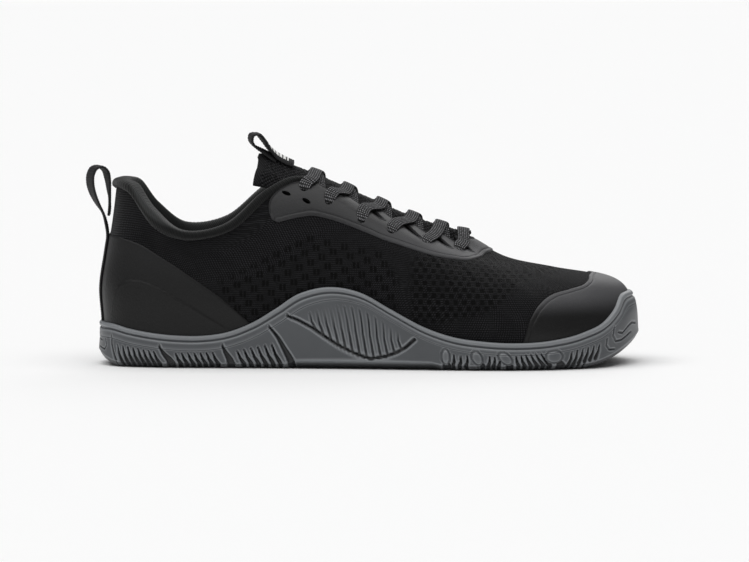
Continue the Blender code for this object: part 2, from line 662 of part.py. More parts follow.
def heel_loop(finish):
    """Tape up the back seam from the sole, then a loop that stands off the heel."""
    q = np.zeros(6)
    t = np.linspace(above_sole(q[:1])[0] + 0.005, SEAM_TOP, 6)
    seam = last(q, t)
    start = seam[-1] - np.array([FILM_GAP + OVERLAY + 2 * GAP + TAPE / 2, 0, 0])
    up = [Tape(x, z, 0.4, 0) for x, _, z in (seam - seam[-1]) / MM]
    return tape("heel_loop", up + list(HEEL_LOOP), HEEL_LOOP_WIDTH, start, finish)


def tongue_loop(finish):
    end = tongue_face()[0]
    return tape("tongue_loop", TONGUE_LOOP, TONGUE_LOOP_WIDTH, end[len(end) // 2], finish)


# Laces: flat cord. Each stretch comes up from under the eyestay on one side, crosses the tongue and
# goes down into the next eyelet toward the ankle on the other side. A bar closes the toe end.
LACE_WIDTH = 6.4 * MM
LACE_THICKNESS = 1.0 * MM
LACE_OVER_EDGE = FILM_GAP + OVERLAY + 4 * GAP
LACE_OVER_TONGUE = 0.5 * MM
LACE_UNDER_EDGE = -0.8 * MM
COMES_UP_AT = 0.37
EDGE_AT = 0.3
AHEAD_AT_EDGE = 0.42
BAR_BOW = 0.036


def lace(name, q, s, lift, finish):
    """A flat band over the throat through the points q, s, lifted off it."""
    middle, out = throat(q, s), throat_normals(q, s)
    side = np.cross(out, np.gradient(middle, axis=0))
    side *= LACE_WIDTH / 2 / np.linalg.norm(side, axis=-1, keepdims=True)
    across = np.stack([middle - side, middle + side], axis=1)
    out = out[:, None]
    lift = np.asarray(lift)[:, None, None]
    return slab(name, across + out * (lift + LACE_THICKNESS), across + out * lift, finish)


def laces(finish):
    s = np.linspace(COMES_UP_AT, 1, 10)
    levels = (LACE_UNDER_EDGE, LACE_OVER_TONGUE, LACE_OVER_TONGUE, LACE_OVER_EDGE)
    lift = np.interp(s, (COMES_UP_AT, 0.46, 0.54, 0.66), levels)
    ahead = np.interp(s, (EDGE_AT, 1 - EDGE_AT), (AHEAD_AT_EDGE, 0))
    for i, (ankle, toe) in enumerate(zip(EYELETS, EYELETS[1:])):
        q = ankle.rim + (toe.rim - ankle.rim) * ahead
        crossing = lace(f"lace_{i + 1}", q, s, lift, finish)
        cut(crossing, lace("lace_over", q, 1 - s, lift + LACE_THICKNESS / 2, finish), "UNION")
    s = np.linspace(0, 1, 13)
    levels = (LACE_OVER_TONGUE + LACE_THICKNESS, LACE_OVER_EDGE, LACE_OVER_EDGE - 3 * GAP)
    lift = np.interp(np.abs(s - 0.5), (0.1, 0.2, 0.4), levels)
    lace("lace_bar", EYELETS[-1].rim + BAR_BOW * np.sin(np.pi * s), s, lift, finish)


def eyelet_holes(target, finish):
    """Punches the eyelets through a piece, on both sides of the throat."""
    turn = np.arange(6) * np.pi / 3
    for hole in EYELETS + SPARE_EYELETS:
        for q in (hole.q, 2 - hole.q):
            q, t = np.array([q]), np.array([hole.t])
            middle, out = last(q, t)[0], normals(q, t)[0]
            side = np.cross(out, [0, 0, 1])
            side /= np.linalg.norm(side)
            up = np.cross(out, side)
            circle = EYELET_RADIUS * (np.cos(turn)[:, None] * side + np.sin(turn)[:, None] * up)
            ends = [middle + circle - out * PUNCH_DEPTH, middle + circle + out * PUNCH_DEPTH]
            rings = np.stack(ends, axis=1)
            points = rings.reshape(-1, 3)
            faces = [(2 * i, (2 * i + 2) % 12, (2 * i + 3) % 12, 2 * i + 1) for i in range(6)]
            faces += [tuple(range(10, -1, -2)), tuple(range(1, 12, 2))]
            cut(target, solid("hole", points, faces, finish))


def main():
    for old in list(bpy.data.objects):
        bpy.data.objects.remove(old)
    knit = material("knit", (0.012, 0.012, 0.013), 0.9)
    rubber = material("rubber", (0.09, 0.093, 0.098), 0.6)
    foam = material("foam", (0.02, 0.02, 0.02), 0.9)
    plastic = material("plastic", (0.025, 0.025, 0.027), 0.5)
    outsole(rubber)
    upper(knit)
    insole(foam)
    toe_cap(plastic)
    heel_counter(plastic)
    eyelet_holes(eyestay(plastic), plastic)
    collar_cuff(knit)
    tongue(knit)
    webbing = material("webbing", (0.02, 0.02, 0.022), 0.8)
    cord = material("cord", (0.04, 0.04, 0.043), 0.8)
    heel_loop(webbing)
    tongue_loop(webbing)
    laces(cord)


main()
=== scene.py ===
import math
from collections import namedtuple

import bpy
import numpy as np
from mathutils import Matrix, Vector


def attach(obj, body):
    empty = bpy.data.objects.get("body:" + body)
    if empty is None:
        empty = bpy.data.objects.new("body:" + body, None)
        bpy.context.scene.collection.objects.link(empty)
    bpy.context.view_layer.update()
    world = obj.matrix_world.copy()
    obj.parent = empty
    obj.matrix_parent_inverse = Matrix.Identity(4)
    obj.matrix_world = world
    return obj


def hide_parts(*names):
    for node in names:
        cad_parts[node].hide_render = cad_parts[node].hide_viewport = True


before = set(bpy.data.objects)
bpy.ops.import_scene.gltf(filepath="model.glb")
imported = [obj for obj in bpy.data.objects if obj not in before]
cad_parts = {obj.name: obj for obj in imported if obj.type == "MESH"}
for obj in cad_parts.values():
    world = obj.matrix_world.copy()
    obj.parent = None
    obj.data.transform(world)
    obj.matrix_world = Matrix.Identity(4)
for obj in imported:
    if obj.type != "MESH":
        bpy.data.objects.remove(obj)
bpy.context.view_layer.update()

bpy.ops.object.select_all(action="DESELECT")
MM = 0.001


# Knitted upper. One shell of near-black engineered knit, pulled over a last and glued into the
# sole. The last is a surface here: q runs once round the shoe from the heel, 1 at the toe, and t
# rises from 0 in the sole to 1 at the rim of collar and throat.

LENGTH = 280.5 * MM
BALL_WIDTH = 104 * MM
HEEL_HEIGHT = 94 * MM
BACK_SHARE = 0.4903
GAP = 0.3 * MM
OUTSOLE_BASE = 4.7 * MM
SOLE_WALL = 3.5 * MM
TOE_SPRING = 4.6 * MM
SPRING_LENGTH = 34 * MM
SPRING_MEASURED_AT = 20 * MM
UPPER_WALL = 1.8 * MM
COLLAR_PADDING = 3.0 * MM
PADDING_FROM = 0.62
PADDING_ENDS_AT = 0.56

# Shares of the length, the ball width and the heel height at each q: the outline, then the rim.
Station = namedtuple("Station", "q along outer inner rim_along rim_half rim_middle rim_height")
STATIONS = (
    Station(0.000, 0.000, 0.000, 0.000, 0.0350, 0.000, 0.000, 1.000),
    Station(0.050, 0.010, -0.155, 0.155, 0.0378, 0.082, 0.000, 1.002),
    Station(0.100, 0.042, -0.262, 0.258, 0.0470, 0.159, 0.000, 1.000),
    Station(0.150, 0.095, -0.318, 0.312, 0.0663, 0.226, 0.000, 0.978),
    Station(0.220, 0.175, -0.345, 0.335, 0.1030, 0.284, 0.002, 0.852),
    Station(0.300, 0.270, -0.360, 0.325, 0.1620, 0.317, 0.005, 0.737),
    Station(0.380, 0.365, -0.380, 0.308, 0.2410, 0.308, 0.010, 0.777),
    Station(0.460, 0.460, -0.412, 0.315, 0.3130, 0.250, 0.018, 0.957),
    Station(0.540, 0.555, -0.452, 0.362, 0.3790, 0.188, 0.026, 1.022),
    Station(0.620, 0.650, -0.488, 0.435, 0.4710, 0.149, 0.034, 0.912),
    Station(0.700, 0.745, -0.505, 0.482, 0.5635, 0.125, 0.040, 0.790),
    Station(0.770, 0.825, -0.480, 0.492, 0.6225, 0.110, 0.044, 0.728),
    Station(0.830, 0.890, -0.405, 0.462, 0.6590, 0.091, 0.046, 0.699),
    Station(0.890, 0.945, -0.290, 0.395, 0.6796, 0.067, 0.047, 0.687),
    Station(0.945, 0.983, -0.115, 0.275, 0.6888, 0.036, 0.047, 0.682),
    Station(1.000, 1.000, 0.085, 0.085, 0.6915, 0.000, 0.047, 0.681),
)

# How far the wall has risen, and how far it swells, at four levels between sole and rim.
Profile = namedtuple("Profile", "q rise_1 rise_2 rise_3 rise_4 swell_1 swell_2 swell_3 swell_4")
PROFILES = (
    Profile(0.00, 0.20, 0.39, 0.59, 0.79, 0.008, 0.026, 0.019, 0.009),
    Profile(0.10, 0.20, 0.40, 0.60, 0.80, 0.010, 0.024, 0.018, 0.008),
    Profile(0.22, 0.21, 0.41, 0.61, 0.81, 0.008, 0.020, 0.016, 0.006),
    Profile(0.38, 0.23, 0.45, 0.66, 0.85, 0.004, 0.012, 0.012, 0.006),
    Profile(0.54, 0.26, 0.52, 0.76, 0.91, 0.007, 0.015, 0.021, 0.022),
    Profile(0.70, 0.25, 0.48, 0.72, 0.88, 0.024, 0.038, 0.042, 0.030),
    Profile(0.83, 0.27, 0.54, 0.71, 0.84, 0.028, 0.036, 0.020, 0.010),
    Profile(0.93, 0.32, 0.58, 0.70, 0.81, 0.029, 0.040, 0.006, 0.002),
    Profile(1.00, 0.35, 0.57, 0.69, 0.80, 0.024, 0.044, 0.000, 0.000),
)
LEVELS = (0.0, 0.2, 0.4, 0.6, 0.8, 1.0)
INWARD = (0.0, 0.04, 0.18, 0.48, 0.78, 1.0)


def spline(knots, values, x):
    """A smooth curve through the values at the knots. values may hold one row for each x."""
    knots, values, x = np.asarray(knots, float), np.asarray(values, float), np.asarray(x, float)
    slopes = np.gradient(values, knots, axis=-1)
    i = np.clip(np.searchsorted(knots, x, side="right") - 1, 0, len(knots) - 2)
    step = knots[i + 1] - knots[i]
    s = np.clip((x - knots[i]) / step, 0, 1)
    if values.ndim == 2:
        rows = np.arange(len(values))
        a, b, da, db = values[rows, i], values[rows, i + 1], slopes[rows, i], slopes[rows, i + 1]
    else:
        a, b, da, db = values[i], values[i + 1], slopes[i], slopes[i + 1]
    blend = s * s * (3 - 2 * s)
    return a + (b - a) * blend + step * s * (1 - s) * (da * (1 - s) - db * s)


def ring(table, outer, inner, q):
    """A column of a table read round the shoe: outer for the outer side, inner for the inner one."""
    there = [(row.q, outer(row)) for row in table]
    back = [(2 - row.q, inner(row)) for row in reversed(table[1:-1])]
    once = there + back
    knots = [k + turn for turn in (-2, 0, 2) for k, _ in once]
    values = [v for _ in range(3) for _, v in once]
    return spline(knots, values, q)


def along_of(q):
    """Share of the length, from the heel, of the sole's outline at q."""
    return ring(STATIONS, lambda s: s.along, lambda s: s.along, q)


def x_of(along):
    return (along - BACK_SHARE) * LENGTH


def outline(q):
    """Points of the sole's outline, seen from above."""
    across = ring(STATIONS, lambda s: s.outer, lambda s: s.inner, q)
    return np.stack([x_of(along_of(q)), across * BALL_WIDTH], axis=-1)


def outward(q):
    """Level unit vectors that point straight out of the outline."""
    small = 1e-4
    run = outline(q + small) - outline(q - small)
    run /= np.linalg.norm(run, axis=-1, keepdims=True)
    return np.stack([run[..., 1], -run[..., 0]], axis=-1)


def rim(q):
    """Points of the rim of collar and throat."""
    along = ring(STATIONS, lambda s: s.rim_along, lambda s: s.rim_along, q)
    across = ring(
        STATIONS, lambda s: s.rim_middle - s.rim_half, lambda s: s.rim_middle + s.rim_half, q
    )
    height = ring(STATIONS, lambda s: s.rim_height, lambda s: s.rim_height, q)
    return np.stack([x_of(along), across * BALL_WIDTH, height * HEEL_HEIGHT], axis=-1)


def spring(x):
    """How far the tread stands off the floor at x: level, then rising under the toes."""
    past = np.clip(x - (x_of(1.0) - SPRING_LENGTH), 0, None)
    return TOE_SPRING * (past / SPRING_MEASURED_AT) ** 2


def feather(q):
    """The line where the upper's outer face meets the sole's inside."""
    flat = outline(q) - outward(q) * (SOLE_WALL + GAP)
    return np.concatenate([flat, (spring(flat[..., 0]) + OUTSOLE_BASE + GAP)[..., None]], axis=-1)


def profile_rows(q, names, first, final):
    columns = [
        ring(PROFILES, lambda p, n=n: getattr(p, n), lambda p, n=n: getattr(p, n), q)
        for n in names
    ]
    return np.stack([np.full(q.shape, first), *columns, np.full(q.shape, final)], axis=-1)


def last(q, t):
    """Points of the upper's outer surface."""
    q, t = np.broadcast_arrays(np.asarray(q, float), np.asarray(t, float))
    shape, q, t = q.shape, q.ravel(), t.ravel()
    foot, top = feather(q), rim(q)
    rise = spline(LEVELS, profile_rows(q, Profile._fields[1:5], 0, 1), t)
    swell = spline(LEVELS, profile_rows(q, Profile._fields[5:9], 0, 0), t)
    inward = spline(LEVELS, INWARD, t)
    points = np.empty((len(q), 3))
    points[:, :2] = foot[:, :2] + (top - foot)[:, :2] * inward[:, None]
    points[:, :2] += outward(q) * (swell * BALL_WIDTH)[:, None]
    points[:, 2] = foot[:, 2] + (top - foot)[:, 2] * rise
    return points.reshape(shape + (3,))


def normals(q, t):
    """Unit vectors straight out of the last's surface."""
    small = 1e-3
    low, high = np.clip(t - small, 0, 1), np.clip(t + small, 0, 1)
    out = np.cross(last(q + small, t) - last(q - small, t), last(q, high) - last(q, low))
    return out / np.linalg.norm(out, axis=-1, keepdims=True)


def level_at(q, height):
    """The t at which the last reaches a height."""
    low, high = np.zeros(np.shape(q)), np.full(np.shape(q), 0.9)
    for _ in range(24):
        middle = (low + high) / 2
        under = last(q, middle)[..., 2] < height
        low, high = np.where(under, middle, low), np.where(under, high, middle)
    return (low + high) / 2


def wall(q, t):
    """Thickness of the upper, padded at the collar."""
    from_heel = np.minimum(np.abs(q), np.abs(2 - q))
    beside = np.clip((PADDING_ENDS_AT - from_heel) / 0.1, 0, 1)
    return UPPER_WALL + COLLAR_PADDING * beside * np.clip((t - PADDING_FROM) / (1 - PADDING_FROM), 0, 1)


def shell(name, outer, inner, cloth, closed=False):
    """A closed thin solid between two grids of points. cloth is each point's place on the cloth, in mm."""
    count, rows = outer.shape[:2]
    cells, other = count if closed else count - 1, count * rows
    i, j = np.meshgrid(np.arange(cells), np.arange(rows - 1), indexing="ij")
    steps = ((0, 0), (1, 0), (1, 1), (0, 1))
    quads = np.stack([((i + a) % count) * rows + j + b for a, b in steps], axis=-1).reshape(-1, 4)
    maps = np.stack([cloth[i + a, j + b] for a, b in steps], axis=2).reshape(-1, 4, 2)
    k = np.arange(cells)
    a, b = k * rows, (k + 1) % count * rows
    rims = [np.stack([a, a + other, b + other, b], axis=-1)]
    rims.append(np.stack([a, b, b + other, a + other], axis=-1) + rows - 1)
    if not closed:
        r = np.arange(rows - 1)
        side = np.stack([r, r + 1, r + 1 + other, r + other], axis=-1)
        rims += [side, side[:, ::-1] + (count - 1) * rows]
    rims = np.concatenate(rims)
    faces = np.concatenate([quads, quads[:, ::-1] + other, rims])
    maps = np.concatenate([maps, maps[:, ::-1], np.zeros((len(rims), 4, 2))])
    mesh = bpy.data.meshes.new(name)
    points = np.concatenate([outer.reshape(-1, 3), inner.reshape(-1, 3)])
    mesh.from_pydata(points.tolist(), [], faces.tolist())
    mesh.uv_layers.new(name="cloth").data.foreach_set("uv", maps.ravel())
    mesh.shade_smooth()
    mesh.set_sharp_from_angle(angle=1.0)
    made = bpy.data.objects.new(name, mesh)
    bpy.context.scene.collection.objects.link(made)
    return made


def point_value(piece, name, outer):
    """Keeps a number for each point of the outer grid on the piece, 0 on the inner one."""
    values = np.concatenate([outer.ravel(), np.zeros(len(piece.data.vertices) - outer.size)])
    piece.data.attributes.new(name, "FLOAT", "POINT").data.foreach_set("value", values)


def srgb(code):
    """A hex colour as linear light."""
    parts = [int(code[i:i + 2], 16) / 255 for i in (0, 2, 4)]
    return [c / 12.92 if c <= 0.04045 else ((c + 0.055) / 1.055) ** 2.4 for c in parts] + [1]


def add(tree, kind, inputs=None, **settings):
    """A node with its settings, its input values and its links."""
    made = tree.nodes.new(kind)
    for name, value in settings.items():
        setattr(made, name, value)
    for key, value in (inputs or {}).items():
        if isinstance(value, bpy.types.NodeSocket):
            tree.links.new(value, made.inputs[key])
        else:
            made.inputs[key].default_value = value
    return made


def blank(name, roughness):
    """A new material and its tree and shader, with the rest of the shader as Blender has it."""
    made = bpy.data.materials.new(name)
    made.use_nodes = True
    shader = made.node_tree.nodes["Principled BSDF"]
    shader.inputs["Roughness"].default_value = roughness
    return made, made.node_tree, shader


def wear(piece, finish, slot, *nodes):
    """Gives the piece its material and puts it in the place of its CAD nodes."""
    piece.data.materials.clear()
    piece.data.materials.append(finish)
    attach(piece, "root")
    if nodes:
        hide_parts(*nodes)


def smooth(x, low, high):
    s = np.clip((x - low) / (high - low), 0, 1)
    return s * s * (3 - 2 * s)


def inside(x, z, corners):
    """How far points lie inside a convex outline in the side view, in mm, negative outside."""
    corners = np.array(corners, float)
    depth = np.full(x.shape, np.inf)
    for (ax, az), (bx, bz) in zip(corners, np.roll(corners, -1, axis=0)):
        length = math.hypot(bx - ax, bz - az)
        depth = np.minimum(depth, ((bz - az) * (x - ax) - (bx - ax) * (z - az)) / length)
    return depth


# Where the knit is open, as outlines in the side view in mm, corner after corner clockwise seen
# from the outer side: the waist, and the toe box in two parts.
WAIST_HOLES = ((-76, 22), (-75, 44), (-29, 69), (9, 61), (17, 50), (18, 22))
TOE_BOX_HOLES = (
    ((23, 22), (23, 58), (52, 66), (86, 66), (81, 42), (73, 34), (64, 28), (40, 22)),
    ((66, 66), (116, 66), (116, 47), (91, 44), (74, 38)),
)
# Steps from hole to hole along and up the cloth, in mm.
WAIST_STEPS = ((8.8, -2.0), (5.8, 2.7))
TOE_BOX_STEPS = ((4.5, 0.0), (2.25, 3.3))
# Half the width of a hole, and of the strand that parts each hole of the waist, in mm.
WAIST_HOLE = 1.75
TOE_BOX_HOLE = 1.25
STRAND = 0.3

# An eyelet at q, t, and the q of the rim straight above it.
Eyelet = namedtuple("Eyelet", "q t rim")
EYELETS = (
    Eyelet(0.520, 0.885, 0.549), Eyelet(0.537, 0.750, 0.598), Eyelet(0.562, 0.633, 0.650),
    Eyelet(0.610, 0.643, 0.702), Eyelet(0.680, 0.717, 0.767), Eyelet(0.765, 0.797, 0.835),
)


def rim_top(q):
    """How far up the last the upper reaches: to the rim, less where it is scooped out between laces."""
    here = np.where(q > 1, 2 - q, q)
    scoop = np.zeros(here.shape)
    for ankle, toe in zip(EYELETS, EYELETS[1:]):
        share = (here - ankle.rim) / (toe.rim - ankle.rim)
        depth = 0.72 * (1 - (ankle.t + toe.t) / 2)
        scoop = np.maximum(scoop, depth * smooth(share, 0.12, 0.42) * smooth(1 - share, 0.1, 0.4))
    return 1 - scoop


q = np.arange(720) * 2 / 720
q, t = np.meshgrid(q, np.linspace(0, 1, 70), indexing="ij")
t = t * rim_top(q)
face, out = last(q, t), normals(q, t)
x, y, z = np.moveaxis(face, -1, 0) / MM
steps_up = np.linalg.norm(np.diff(face, axis=1), axis=-1)
up_cloth = np.concatenate([np.zeros((720, 1)), np.cumsum(steps_up, axis=1)], axis=1) / MM
steps_round = np.linalg.norm(np.diff(face, axis=0, append=face[:1]), axis=-1)
along_cloth = np.concatenate([np.zeros((1, 70)), np.cumsum(steps_round, axis=0)]) / MM
cloth = np.stack([along_cloth - along_cloth[360], np.concatenate([up_cloth, up_cloth[:1]])], axis=-1)

climbed = np.hypot(np.diff(y, axis=1), np.diff(z, axis=1))
girth = np.concatenate([np.zeros((720, 1)), np.cumsum(climbed, axis=1)], axis=1)
waist = smooth(inside(-x, z, [(-a, b) for a, b in WAIST_HOLES][::-1]), -2, 3)
toe_box = [smooth(inside(-x, z, [(-a, b) for a, b in part][::-1]), -1, 4) for part in TOE_BOX_HOLES]
toe_box = np.maximum(*toe_box)


upper = shell("upper_knit", face, face - out * wall(q, t)[..., None], cloth, closed=True)
point_value(upper, "waist", waist)
point_value(upper, "toe_box", toe_box)
point_value(upper, "girth", girth)


# A wave texture of this scale has one band in each millimetre.
ONE_PER_MM = 0.314


def math_node(tree, operation, *values, **settings):
    inputs = dict(enumerate(values))
    return add(tree, "ShaderNodeMath", inputs, operation=operation, **settings).outputs[0]


def lattice(tree, along, up, steps, half, strand):
    """1 within square holes on the lattice that the two steps make, each parted by a strand."""
    (a, b), (c, d) = steps
    det = a * d - b * c
    across, rise = [], []
    for x_share, z_share, x_step, z_step in ((d, -c, a, b), (-b, a, c, d)):
        place = math_node(tree, "MULTIPLY", along, x_share / det)
        place = math_node(tree, "MULTIPLY_ADD", up, z_share / det, place)
        off = math_node(tree, "WRAP", place, 0.5, -0.5)
        across.append(math_node(tree, "MULTIPLY", off, x_step))
        rise.append(math_node(tree, "MULTIPLY", off, z_step))
    wide = math_node(tree, "ABSOLUTE", math_node(tree, "ADD", *across))
    high = math_node(tree, "ABSOLUTE", math_node(tree, "ADD", *rise))
    away = math_node(tree, "SMOOTH_MAX", wide, high, 0.5)
    limits = {"Value": away, "From Min": half * 1.15, "From Max": half * 0.85}
    hole = add(tree, "ShaderNodeMapRange", limits).outputs["Result"]
    return math_node(tree, "MULTIPLY", hole, math_node(tree, "GREATER_THAN", wide, strand))


# Engineered polyester knit: matt, almost black, with a soft sheen at grazing angles. The courses
# lie 1.2 mm apart here, a little coarser than real, so that they show.
knit, tree, shader = blank("polyester_knit", 0.9)
shader.inputs["Sheen Weight"].default_value = 0.1
shader.inputs["Specular IOR Level"].default_value = 0.15
shader.inputs["Sheen Roughness"].default_value = 0.4
place = add(tree, "ShaderNodeUVMap", uv_map="cloth").outputs["UV"]
courses = add(
    tree, "ShaderNodeTexWave",
    {"Vector": place, "Scale": ONE_PER_MM / 1.2, "Distortion": 1.4, "Detail": 1.0, "Detail Scale": 2.0},
    bands_direction="Y",
)
wales = add(
    tree, "ShaderNodeTexWave",
    {"Vector": place, "Scale": ONE_PER_MM / 1.25, "Distortion": 1.2, "Detail": 1.0}, bands_direction="X",
)
stitch = add(
    tree, "ShaderNodeMath", {0: courses.outputs["Fac"], 1: wales.outputs["Fac"]}, operation="MULTIPLY",
).outputs[0]
parts = add(tree, "ShaderNodeSeparateXYZ", {0: add(tree, "ShaderNodeTexCoord").outputs["Object"]})
ragged = add(tree, "ShaderNodeTexNoise", {"Vector": place, "Scale": 1.1, "Detail": 2.0}).outputs["Fac"]
ragged = math_node(tree, "MULTIPLY_ADD", ragged, 1.6, -0.8)
x_mm = math_node(tree, "MULTIPLY_ADD", parts.outputs["X"], 1000, ragged)
z_mm = math_node(tree, "MULTIPLY_ADD", parts.outputs["Z"], 1000, ragged)
waist_mask, toe_mask, girth_mm = (
    add(tree, "ShaderNodeAttribute", attribute_name=n).outputs["Fac"] for n in ("waist", "toe_box", "girth")
)
waist_holes = lattice(tree, x_mm, z_mm, WAIST_STEPS, WAIST_HOLE, STRAND)
toe_holes = lattice(tree, x_mm, girth_mm, TOE_BOX_STEPS, TOE_BOX_HOLE, 0)
waist_holes = math_node(tree, "MULTIPLY", waist_holes, waist_mask)
toe_holes = math_node(tree, "MULTIPLY", toe_holes, toe_mask)
holes = math_node(tree, "MAXIMUM", waist_holes, toe_holes)
uneven = add(tree, "ShaderNodeTexNoise", {"Vector": place, "Scale": 0.09, "Detail": 4.0}).outputs["Fac"]
uneven = math_node(tree, "MULTIPLY_ADD", uneven, 1.6, 0.3)
tone = math_node(tree, "MULTIPLY", stitch, uneven)
yarn = add(
    tree, "ShaderNodeMix", {"Factor": tone, "A": srgb("060607"), "B": srgb("2c2c2e")}, data_type="RGBA",
)
# Painted shade: the open holes are painted near black for the shade inside them.
dark = add(
    tree, "ShaderNodeMix", {"Factor": holes, "A": yarn.outputs["Result"], "B": srgb("020202")},
    data_type="RGBA",
)
tree.links.new(dark.outputs["Result"], shader.inputs["Base Color"])
sunk = math_node(tree, "MULTIPLY_ADD", holes, -3.0, stitch)
bump = add(tree, "ShaderNodeBump", {"Height": sunk, "Strength": 0.6, "Distance": 0.0004})
tree.links.new(bump.outputs["Normal"], shader.inputs["Normal"])
wear(upper, knit, "knit", "upper")


# Outsole. One cup of solid rubber, moulded in a single shot and cemented round the foot of the
# upper: a rolled rim with a groove under it, a plain band, then a side cut into claws, a fan of
# fins at the waist and small ovals at the forefoot.

SEAT = 0.55 * MM
RIM_WALL = 1.8 * MM
HEEL_BEVEL = 11 * MM
HEEL_LIFT = 3.8 * MM
WAVE_HEIGHT = 42 * MM
SOLE_COLUMNS = 1280
PANEL_ROWS = 32

# Top edge of the sole's wall: shares of LENGTH from the heel, and heights as shares of WAVE_HEIGHT.
Edge = namedtuple("Edge", "along height")
SOLE_EDGE = (
    Edge(0.000, 0.525), Edge(0.025, 0.520), Edge(0.055, 0.475), Edge(0.100, 0.425),
    Edge(0.150, 0.395), Edge(0.200, 0.397), Edge(0.240, 0.435), Edge(0.294, 0.560),
    Edge(0.345, 0.735), Edge(0.400, 0.930), Edge(0.450, 1.000), Edge(0.500, 0.930),
    Edge(0.545, 0.745), Edge(0.600, 0.535), Edge(0.650, 0.415), Edge(0.715, 0.350),
    Edge(0.780, 0.333), Edge(0.840, 0.360), Edge(0.900, 0.445), Edge(0.940, 0.560),
    Edge(0.965, 0.705), Edge(0.985, 0.860), Edge(1.000, 0.885),
)

# The rolled rim in section: how far it stands out at each distance under its top, both in mm.
Roll = namedtuple("Roll", "under out")
RIM = (
    Roll(0.0, -0.35), Roll(0.15, 0.0), Roll(0.4, 0.3), Roll(0.8, 0.52), Roll(1.3, 0.6),
    Roll(1.8, 0.48), Roll(2.2, 0.2), Roll(2.5, -0.15), Roll(2.75, -0.5), Roll(3.0, -0.55),
    Roll(3.2, -0.3), Roll(3.5, 0.12), Roll(4.0, 0.25), Roll(4.6, 0.2), Roll(5.3, 0.15),
)
# How far under the top the band's fine lower line runs.
Line = namedtuple("Line", "along under")
BAND_LINE = (Line(0.0, 7.4), Line(0.3, 7.4), Line(0.45, 6.4), Line(0.7, 6.2), Line(1.0, 6.6))

# Rows of claws, cut from the lower edge upward. All in mm in the side view, x from the middle of
# the shoe: where the first and the last cut start and where they reach the edge.
Claws = namedtuple("Claws", "count top_x top_z foot_x foot_z last_top_x last_top_z last_foot_x last_foot_z")
CLAWS = (
    Claws(8, -127.1, 11.4, -124.6, 2.5, -108.1, 8.4, -104.0, 0.8),
    Claws(7, -96.7, 7.6, -93.1, 1.0, -77.5, 8.0, -73.9, 1.0),
    Claws(6, -64.8, 9.0, -61.0, 1.5, -46.9, 12.5, -42.3, 1.5),
    Claws(3, 46.4, 8.0, 45.3, 0.8, 53.4, 7.6, 51.8, 0.8),
    Claws(3, 64.8, 7.2, 63.2, 0.8, 70.0, 6.4, 68.4, 0.8),
    Claws(6, 78.3, 7.6, 80.1, 1.0, 91.3, 8.6, 95.8, 2.4),
    Claws(6, 107.4, 9.2, 105.0, 2.0, 121.9, 12.4, 119.4, 5.2),
)
CLAW_LEAN = 0.9
CLAW_DEPTH = 1.5

# Single cuts as lines in the side view, with their width at the start and the end.
Cut = namedtuple("Cut", "narrow wide deep line")
CUTS = (
    Cut(0.8, 1.4, 1.2, ((-130.5, 15.1), (-130.2, 10.9), (-129.4, 7.8), (-128.0, 3.6))),
    Cut(0.8, 4.4, 1.4, ((-105.0, 10.4), (-102.9, 7.3), (-100.0, 4.2), (-98.2, 0.8))),
    Cut(0.8, 4.4, 1.4, ((-72.3, 11.2), (-70.7, 7.8), (-68.9, 4.6), (-67.6, 0.8))),
    Cut(0.9, 3.8, 1.4, ((-46.6, 21.0), (-43.2, 15.6), (-40.4, 9.9), (-38.5, 6.2), (-36.6, 2.0))),
    Cut(1.2, 1.5, 1.4, (
        (-35.9, 27.0), (-31.3, 24.9), (-25.6, 21.3), (-19.9, 17.1), (-13.1, 12.5), (-6.9, 9.3),
        (-1.7, 7.0), (3.5, 5.4), (11.3, 6.8), (17.0, 8.8), (21.7, 11.4), (26.6, 15.6),
    )),
    Cut(4.2, 4.6, 1.4, ((42.6, 2.2), (42.8, 0.2))),
    Cut(3.6, 4.4, 1.4, ((60.4, 2.4), (61.0, 0.2))),
    Cut(3.6, 4.4, 1.4, ((74.8, 2.4), (75.6, 0.2))),
    Cut(4.0, 5.0, 1.4, ((101.0, 3.0), (102.6, 0.6))),
    Cut(0.8, 0.8, 0.7, ((125.8, 14.8), (125.3, 11.4), (126.6, 9.1), (129.2, 9.1))),
    Cut(0.8, 0.8, 0.7, ((129.7, 20.3), (128.9, 16.1), (130.2, 13.2), (133.3, 13.5), (138.5, 16.9))),
    Cut(0.8, 0.8, 0.7, ((131.8, 17.7), (133.9, 16.9), (136.5, 19.7), (139.1, 21.6), (141.1, 20.8))),
    Cut(0.8, 0.8, 0.7, ((-138.5, 16.1), (-137.7, 13.5), (-135.7, 12.7))),
    Cut(0.8, 0.8, 0.7, ((-133.8, 13.8), (-133.1, 10.4), (-134.1, 8.3), (-136.7, 9.3))),
)
FINS = 13
FIRST_FIN = -25.0
LAST_FIN = 18.1
FIN_LEAN = 1.6
WAIST_CUT = CUTS[4].line

# Ovals that stand out above the gaps of the forefoot: middle, half-width, half-height, lean.
Oval = namedtuple("Oval", "x z half_width half_height lean")
OVALS = (
    Oval(42.2, 7.0, 2.0, 3.5, 0.0), Oval(58.3, 6.4, 2.4, 3.3, 0.5),
    Oval(72.8, 6.2, 2.3, 3.6, 0.95), Oval(98.0, 6.9, 4.2, 2.8, 0.1),
)


def sole_top(along):
    return spline([e.along for e in SOLE_EDGE], [e.height for e in SOLE_EDGE], along) * WAVE_HEIGHT


def band_line(along):
    return spline([b.along for b in BAND_LINE], [b.under for b in BAND_LINE], along) * MM


def tread_height(x):
    """Underside of the sole: the floor, the toe spring, and a round-off at the back of the heel."""
    past = np.clip(x_of(0) + HEEL_BEVEL + 2 * MM - x, 0, None)
    return spring(x) + HEEL_LIFT * (past / HEEL_BEVEL) ** 2


